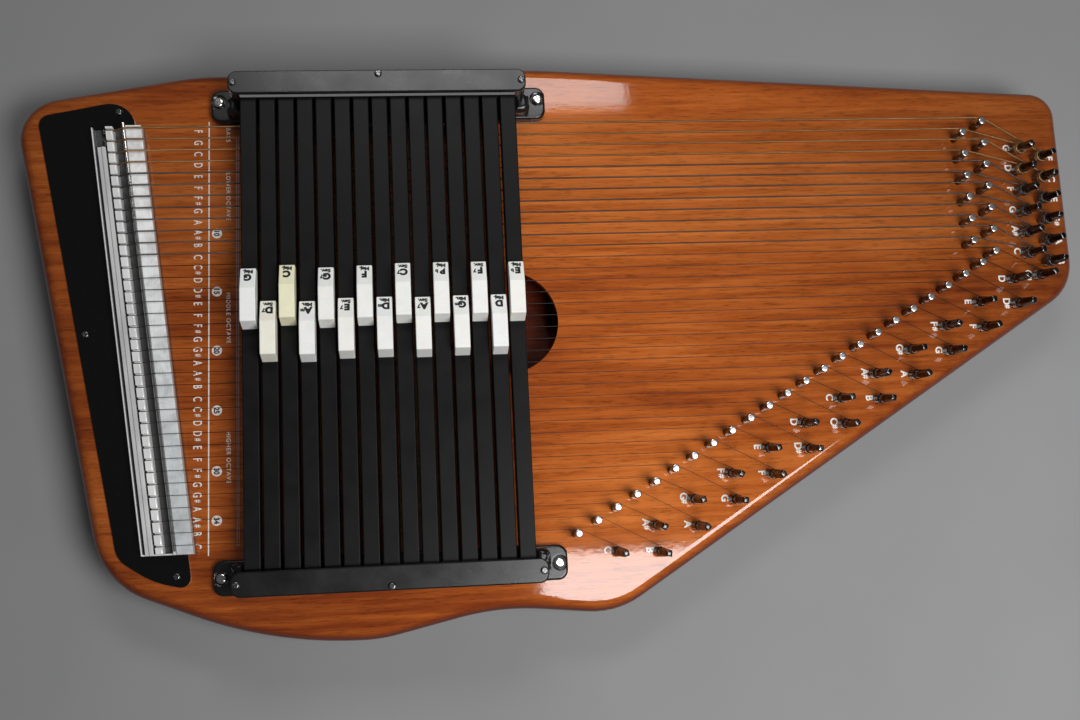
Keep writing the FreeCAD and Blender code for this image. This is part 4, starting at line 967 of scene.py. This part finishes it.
def add_word(mesh, text, place, height, width, bold, length=None):
    """A printed word centred on a matrix and along its X axis, letter-spaced to a length if asked."""
    curve = bpy.data.curves.new("word", "FONT")
    curve.body = text
    curve.size = height / CAP_SHARE
    curve.offset = bold * height
    word = bpy.data.objects.new("word", curve)
    outline = bpy.data.meshes.new_from_object(word)
    if length is not None:
        tight = word_length(outline)
        curve.space_character = 1 + WORD_STRETCH * (length - tight) / tight
        bpy.data.meshes.remove(outline)
        outline = bpy.data.meshes.new_from_object(word)
    low, high = span([vertex.co for vertex in outline.vertices], X_AXIS)
    centre = Matrix.Translation((-(low + high) / 2, -height / 2, 0))
    outline.transform(place @ Matrix.Diagonal((width, 1, 1, 1)) @ centre)
    mesh.from_mesh(outline)
    bpy.data.objects.remove(word)
    bpy.data.curves.remove(curve)
    bpy.data.meshes.remove(outline)


def word_length(outline):
    return span_size([vertex.co for vertex in outline.vertices], X_AXIS)


def side_on(x, y, lift=PRINT_LIFT):
    """A place on the soundboard for words that run towards the treble side."""
    return Matrix.Translation((x, y, TOP + lift)) @ Matrix.Rotation(-math.pi / 2, 4, "Z")


def scale_x(x, y):
    """The printed scale leans very slightly, so it is further right towards the bass side."""
    return x + SCALE_LEAN * y


def add_strip(mesh, x, high_y, low_y, width):
    """A thin printed line that runs along the scale."""
    corners = ((-1, low_y), (1, low_y), (1, high_y), (-1, high_y))
    places = [(scale_x(x, y) + side * width / 2, y, TOP + PRINT_LIFT) for side, y in corners]
    mesh.faces.new([mesh.verts.new(place) for place in places])


def add_disc(mesh, x, y, radius):
    points = ring(radius, TOP + PRINT_LIFT)
    mesh.faces.new([mesh.verts.new(point + Vector((x, y, 0))) for point in points])


def print_scale():
    """Line, string letters, numbered discs and octave names beside the tailpiece."""
    rows = [SCALE_FIRST_Y - SCALE_PITCH * index for index in range(STRING_COUNT)]

    def white(mesh):
        add_strip(mesh, SCALE_LINE_X, *SCALE_LINE_SPAN, SCALE_LINE_WIDTH)
        for note, y in zip(NOTES, rows):
            place = side_on(scale_x(SCALE_LETTER_X, y), y)
            add_note(mesh, note, place, SCALE_CAP, SCALE_NARROW, SCALE_BOLD)
        for number in SCALE_DISCS:
            y = rows[number - 1]
            add_disc(mesh, scale_x(SCALE_DISC_X, y), y, SCALE_DISC_RADIUS)
        for word, high_y, low_y in OCTAVES:
            y = (high_y + low_y) / 2
            place = side_on(scale_x(SCALE_WORD_X, y), y)
            add_word(mesh, word, place, WORD_CAP, 1.0, WORD_BOLD, high_y - low_y)

    def soft(mesh):
        for shift in (-SOFT_LINE_GAP, SOFT_LINE_GAP):
            add_strip(mesh, SOFT_LINE_X + shift, *SOFT_LINE_SPAN, SOFT_LINE_WIDTH)

    def numbers(mesh):
        for number in SCALE_DISCS:
            y = rows[number - 1]
            place = side_on(scale_x(SCALE_DISC_X, y), y, 2 * PRINT_LIFT)
            add_word(mesh, str(number), place, NUMBER_CAP, NUMBER_NARROW, NUMBER_BOLD)

    add_print("printed_scale", white, WHITE_INK)
    add_print("printed_thin_lines", soft, SOFT_INK)
    add_print("printed_numbers", numbers, BROWN_INK)


def add_note(mesh, note, place, cap, width, bold):
    """A note letter. A sharp sign after it is smaller, and moves the letter back a little."""
    if note.endswith("#"):
        right, up = SHARP_PLACE
        sign = place @ Matrix.Translation((cap * right, cap * up, 0))
        add_word(mesh, "#", sign, cap * SHARP_SIZE, width, bold)
        place = place @ Matrix.Translation((-cap * SHARP_ROOM, 0, 0))
    add_word(mesh, note[0], place, cap, width, bold)


def print_pin_letters(pins):
    def build(mesh):
        for number, (note, pin) in enumerate(zip(NOTES, pins), start=1):
            offset = pin_letter_offset(number)
            place = side_on(pin["foot"].x + offset[0], pin["foot"].y + offset[1])
            add_note(mesh, note, place, PIN_CAP, NARROW, PIN_BOLD)

    add_print("printed_pin_letters", build, WHITE_INK)


def pin_letter_offset(number):
    if number > WOUND_COUNT:
        return DIAGONAL_LETTER
    return OUTER_LETTER if number % 2 else INNER_LETTER


def add_print(name, build, material, body=ROOT):
    add_piece(name, new_mesh(name, build), material, body)


def print_button_labels():
    """The chord's root large on the slope, and its kind small nearer the bass end."""
    for number, (root, mark, kind) in zip(BARS, CHORDS):
        slope = button_slope(f"button_{number:02d}")
        raised = mark or root[1:]

        def build(mesh, slope=slope, letter=root[0], raised=raised, kind=kind):
            shift = ROOT_SHIFT if raised else 0.0
            place = slope @ Matrix.Translation((shift, ROOT_UP, 0))
            add_word(mesh, letter, place, ROOT_CAP, 1.0, ROOT_BOLD)
            if raised:
                place = slope @ Matrix.Translation((MARK_SHIFT, ROOT_UP, 0))
                add_word(mesh, raised, place, MARK_CAP, NARROW, ROOT_BOLD)
            small = slope @ Matrix.Translation((0, KIND_UP, 0))
            add_word(mesh, kind, small, KIND_CAP, KIND_WIDE, KIND_BOLD)

        add_print(f"button_label_{number:02d}", build, BLACK_INK, f"bar_{number:02d}")


def button_slope(node):
    """A matrix on the middle of a button's sloping face, X towards the tail, Z out of it."""
    low, high = SLOPE_FACING
    faces = [
        face
        for face in NODES[node].data.polygons
        if low < face.normal.z < high and face.normal.y > 0
    ]
    out = max(faces, key=lambda face: face.area).normal.copy()
    flat = [face for face in faces if face.normal.dot(out) > SAME_FACING]
    area = sum(face.area for face in flat)
    centre = sum((face.center * face.area for face in flat), Vector()) / area
    across = Vector((-1, 0, 0))
    up = out.cross(across)
    basis = Matrix((across, up, out)).transposed().to_4x4()
    return Matrix.Translation(centre + out * PRINT_LIFT) @ basis


# ---------------------------------------------------------------- floor, light, camera

def lay_floor():
    def build(mesh):
        side = FLOOR_SIDE / 2
        corners = ((-side, -side), (side, -side), (side, side), (-side, side))
        mesh.faces.new([mesh.verts.new((x, y, 0)) for x, y in corners])

    floor = bpy.data.objects.new("floor", new_mesh("floor", build))
    bpy.context.scene.collection.objects.link(floor)
    floor.data.materials.append(FLOOR)


def soft_light(name, place, size, power):
    """A square-cornered softbox that faces straight down."""
    data = bpy.data.lights.new(name, "AREA")
    data.shape = "RECTANGLE"
    data.size, data.size_y = size
    data.energy = power
    lamp = bpy.data.objects.new(name, data)
    lamp.location = place
    bpy.context.scene.collection.objects.link(lamp)


def light_scene():
    soft_light("key_light", KEY_PLACE, KEY_SIZE, KEY_POWER)
    soft_light("fill_light", FILL_PLACE, FILL_SIZE, FILL_POWER)
    world = bpy.data.worlds.new("studio")
    world.use_nodes = True
    background = world.node_tree.nodes["Background"]
    background.inputs["Color"].default_value = WORLD_COLOUR
    background.inputs["Strength"].default_value = WORLD_LIGHT
    bpy.context.scene.world = world
    bpy.context.scene.view_settings.view_transform = "Standard"


def place_camera():
    data = bpy.data.cameras.new("camera")
    data.sensor_fit = "HORIZONTAL"
    data.angle = CAMERA_FIELD
    data.clip_start = 0.01
    camera = bpy.data.objects.new("camera", data)
    back = -CAMERA_AIM.normalized()
    right = CAMERA_UP.cross(back).normalized()
    basis = Matrix((right, back.cross(right), back)).transposed().to_4x4()
    camera.matrix_world = Matrix.Translation(CAMERA_PLACE) @ basis
    bpy.context.scene.collection.objects.link(camera)
    bpy.context.scene.camera = camera


def main():
    dress_body()
    dress_metalwork()
    dress_holders()
    dress_buttons()
    split_bars()
    build_springs()
    build_guide_pins()
    pins = pin_facts()
    build_tuning_pins(pins)
    build_strings(pins)
    print_scale()
    print_pin_letters(pins)
    print_button_labels()
    lay_floor()
    light_scene()
    place_camera()


main()
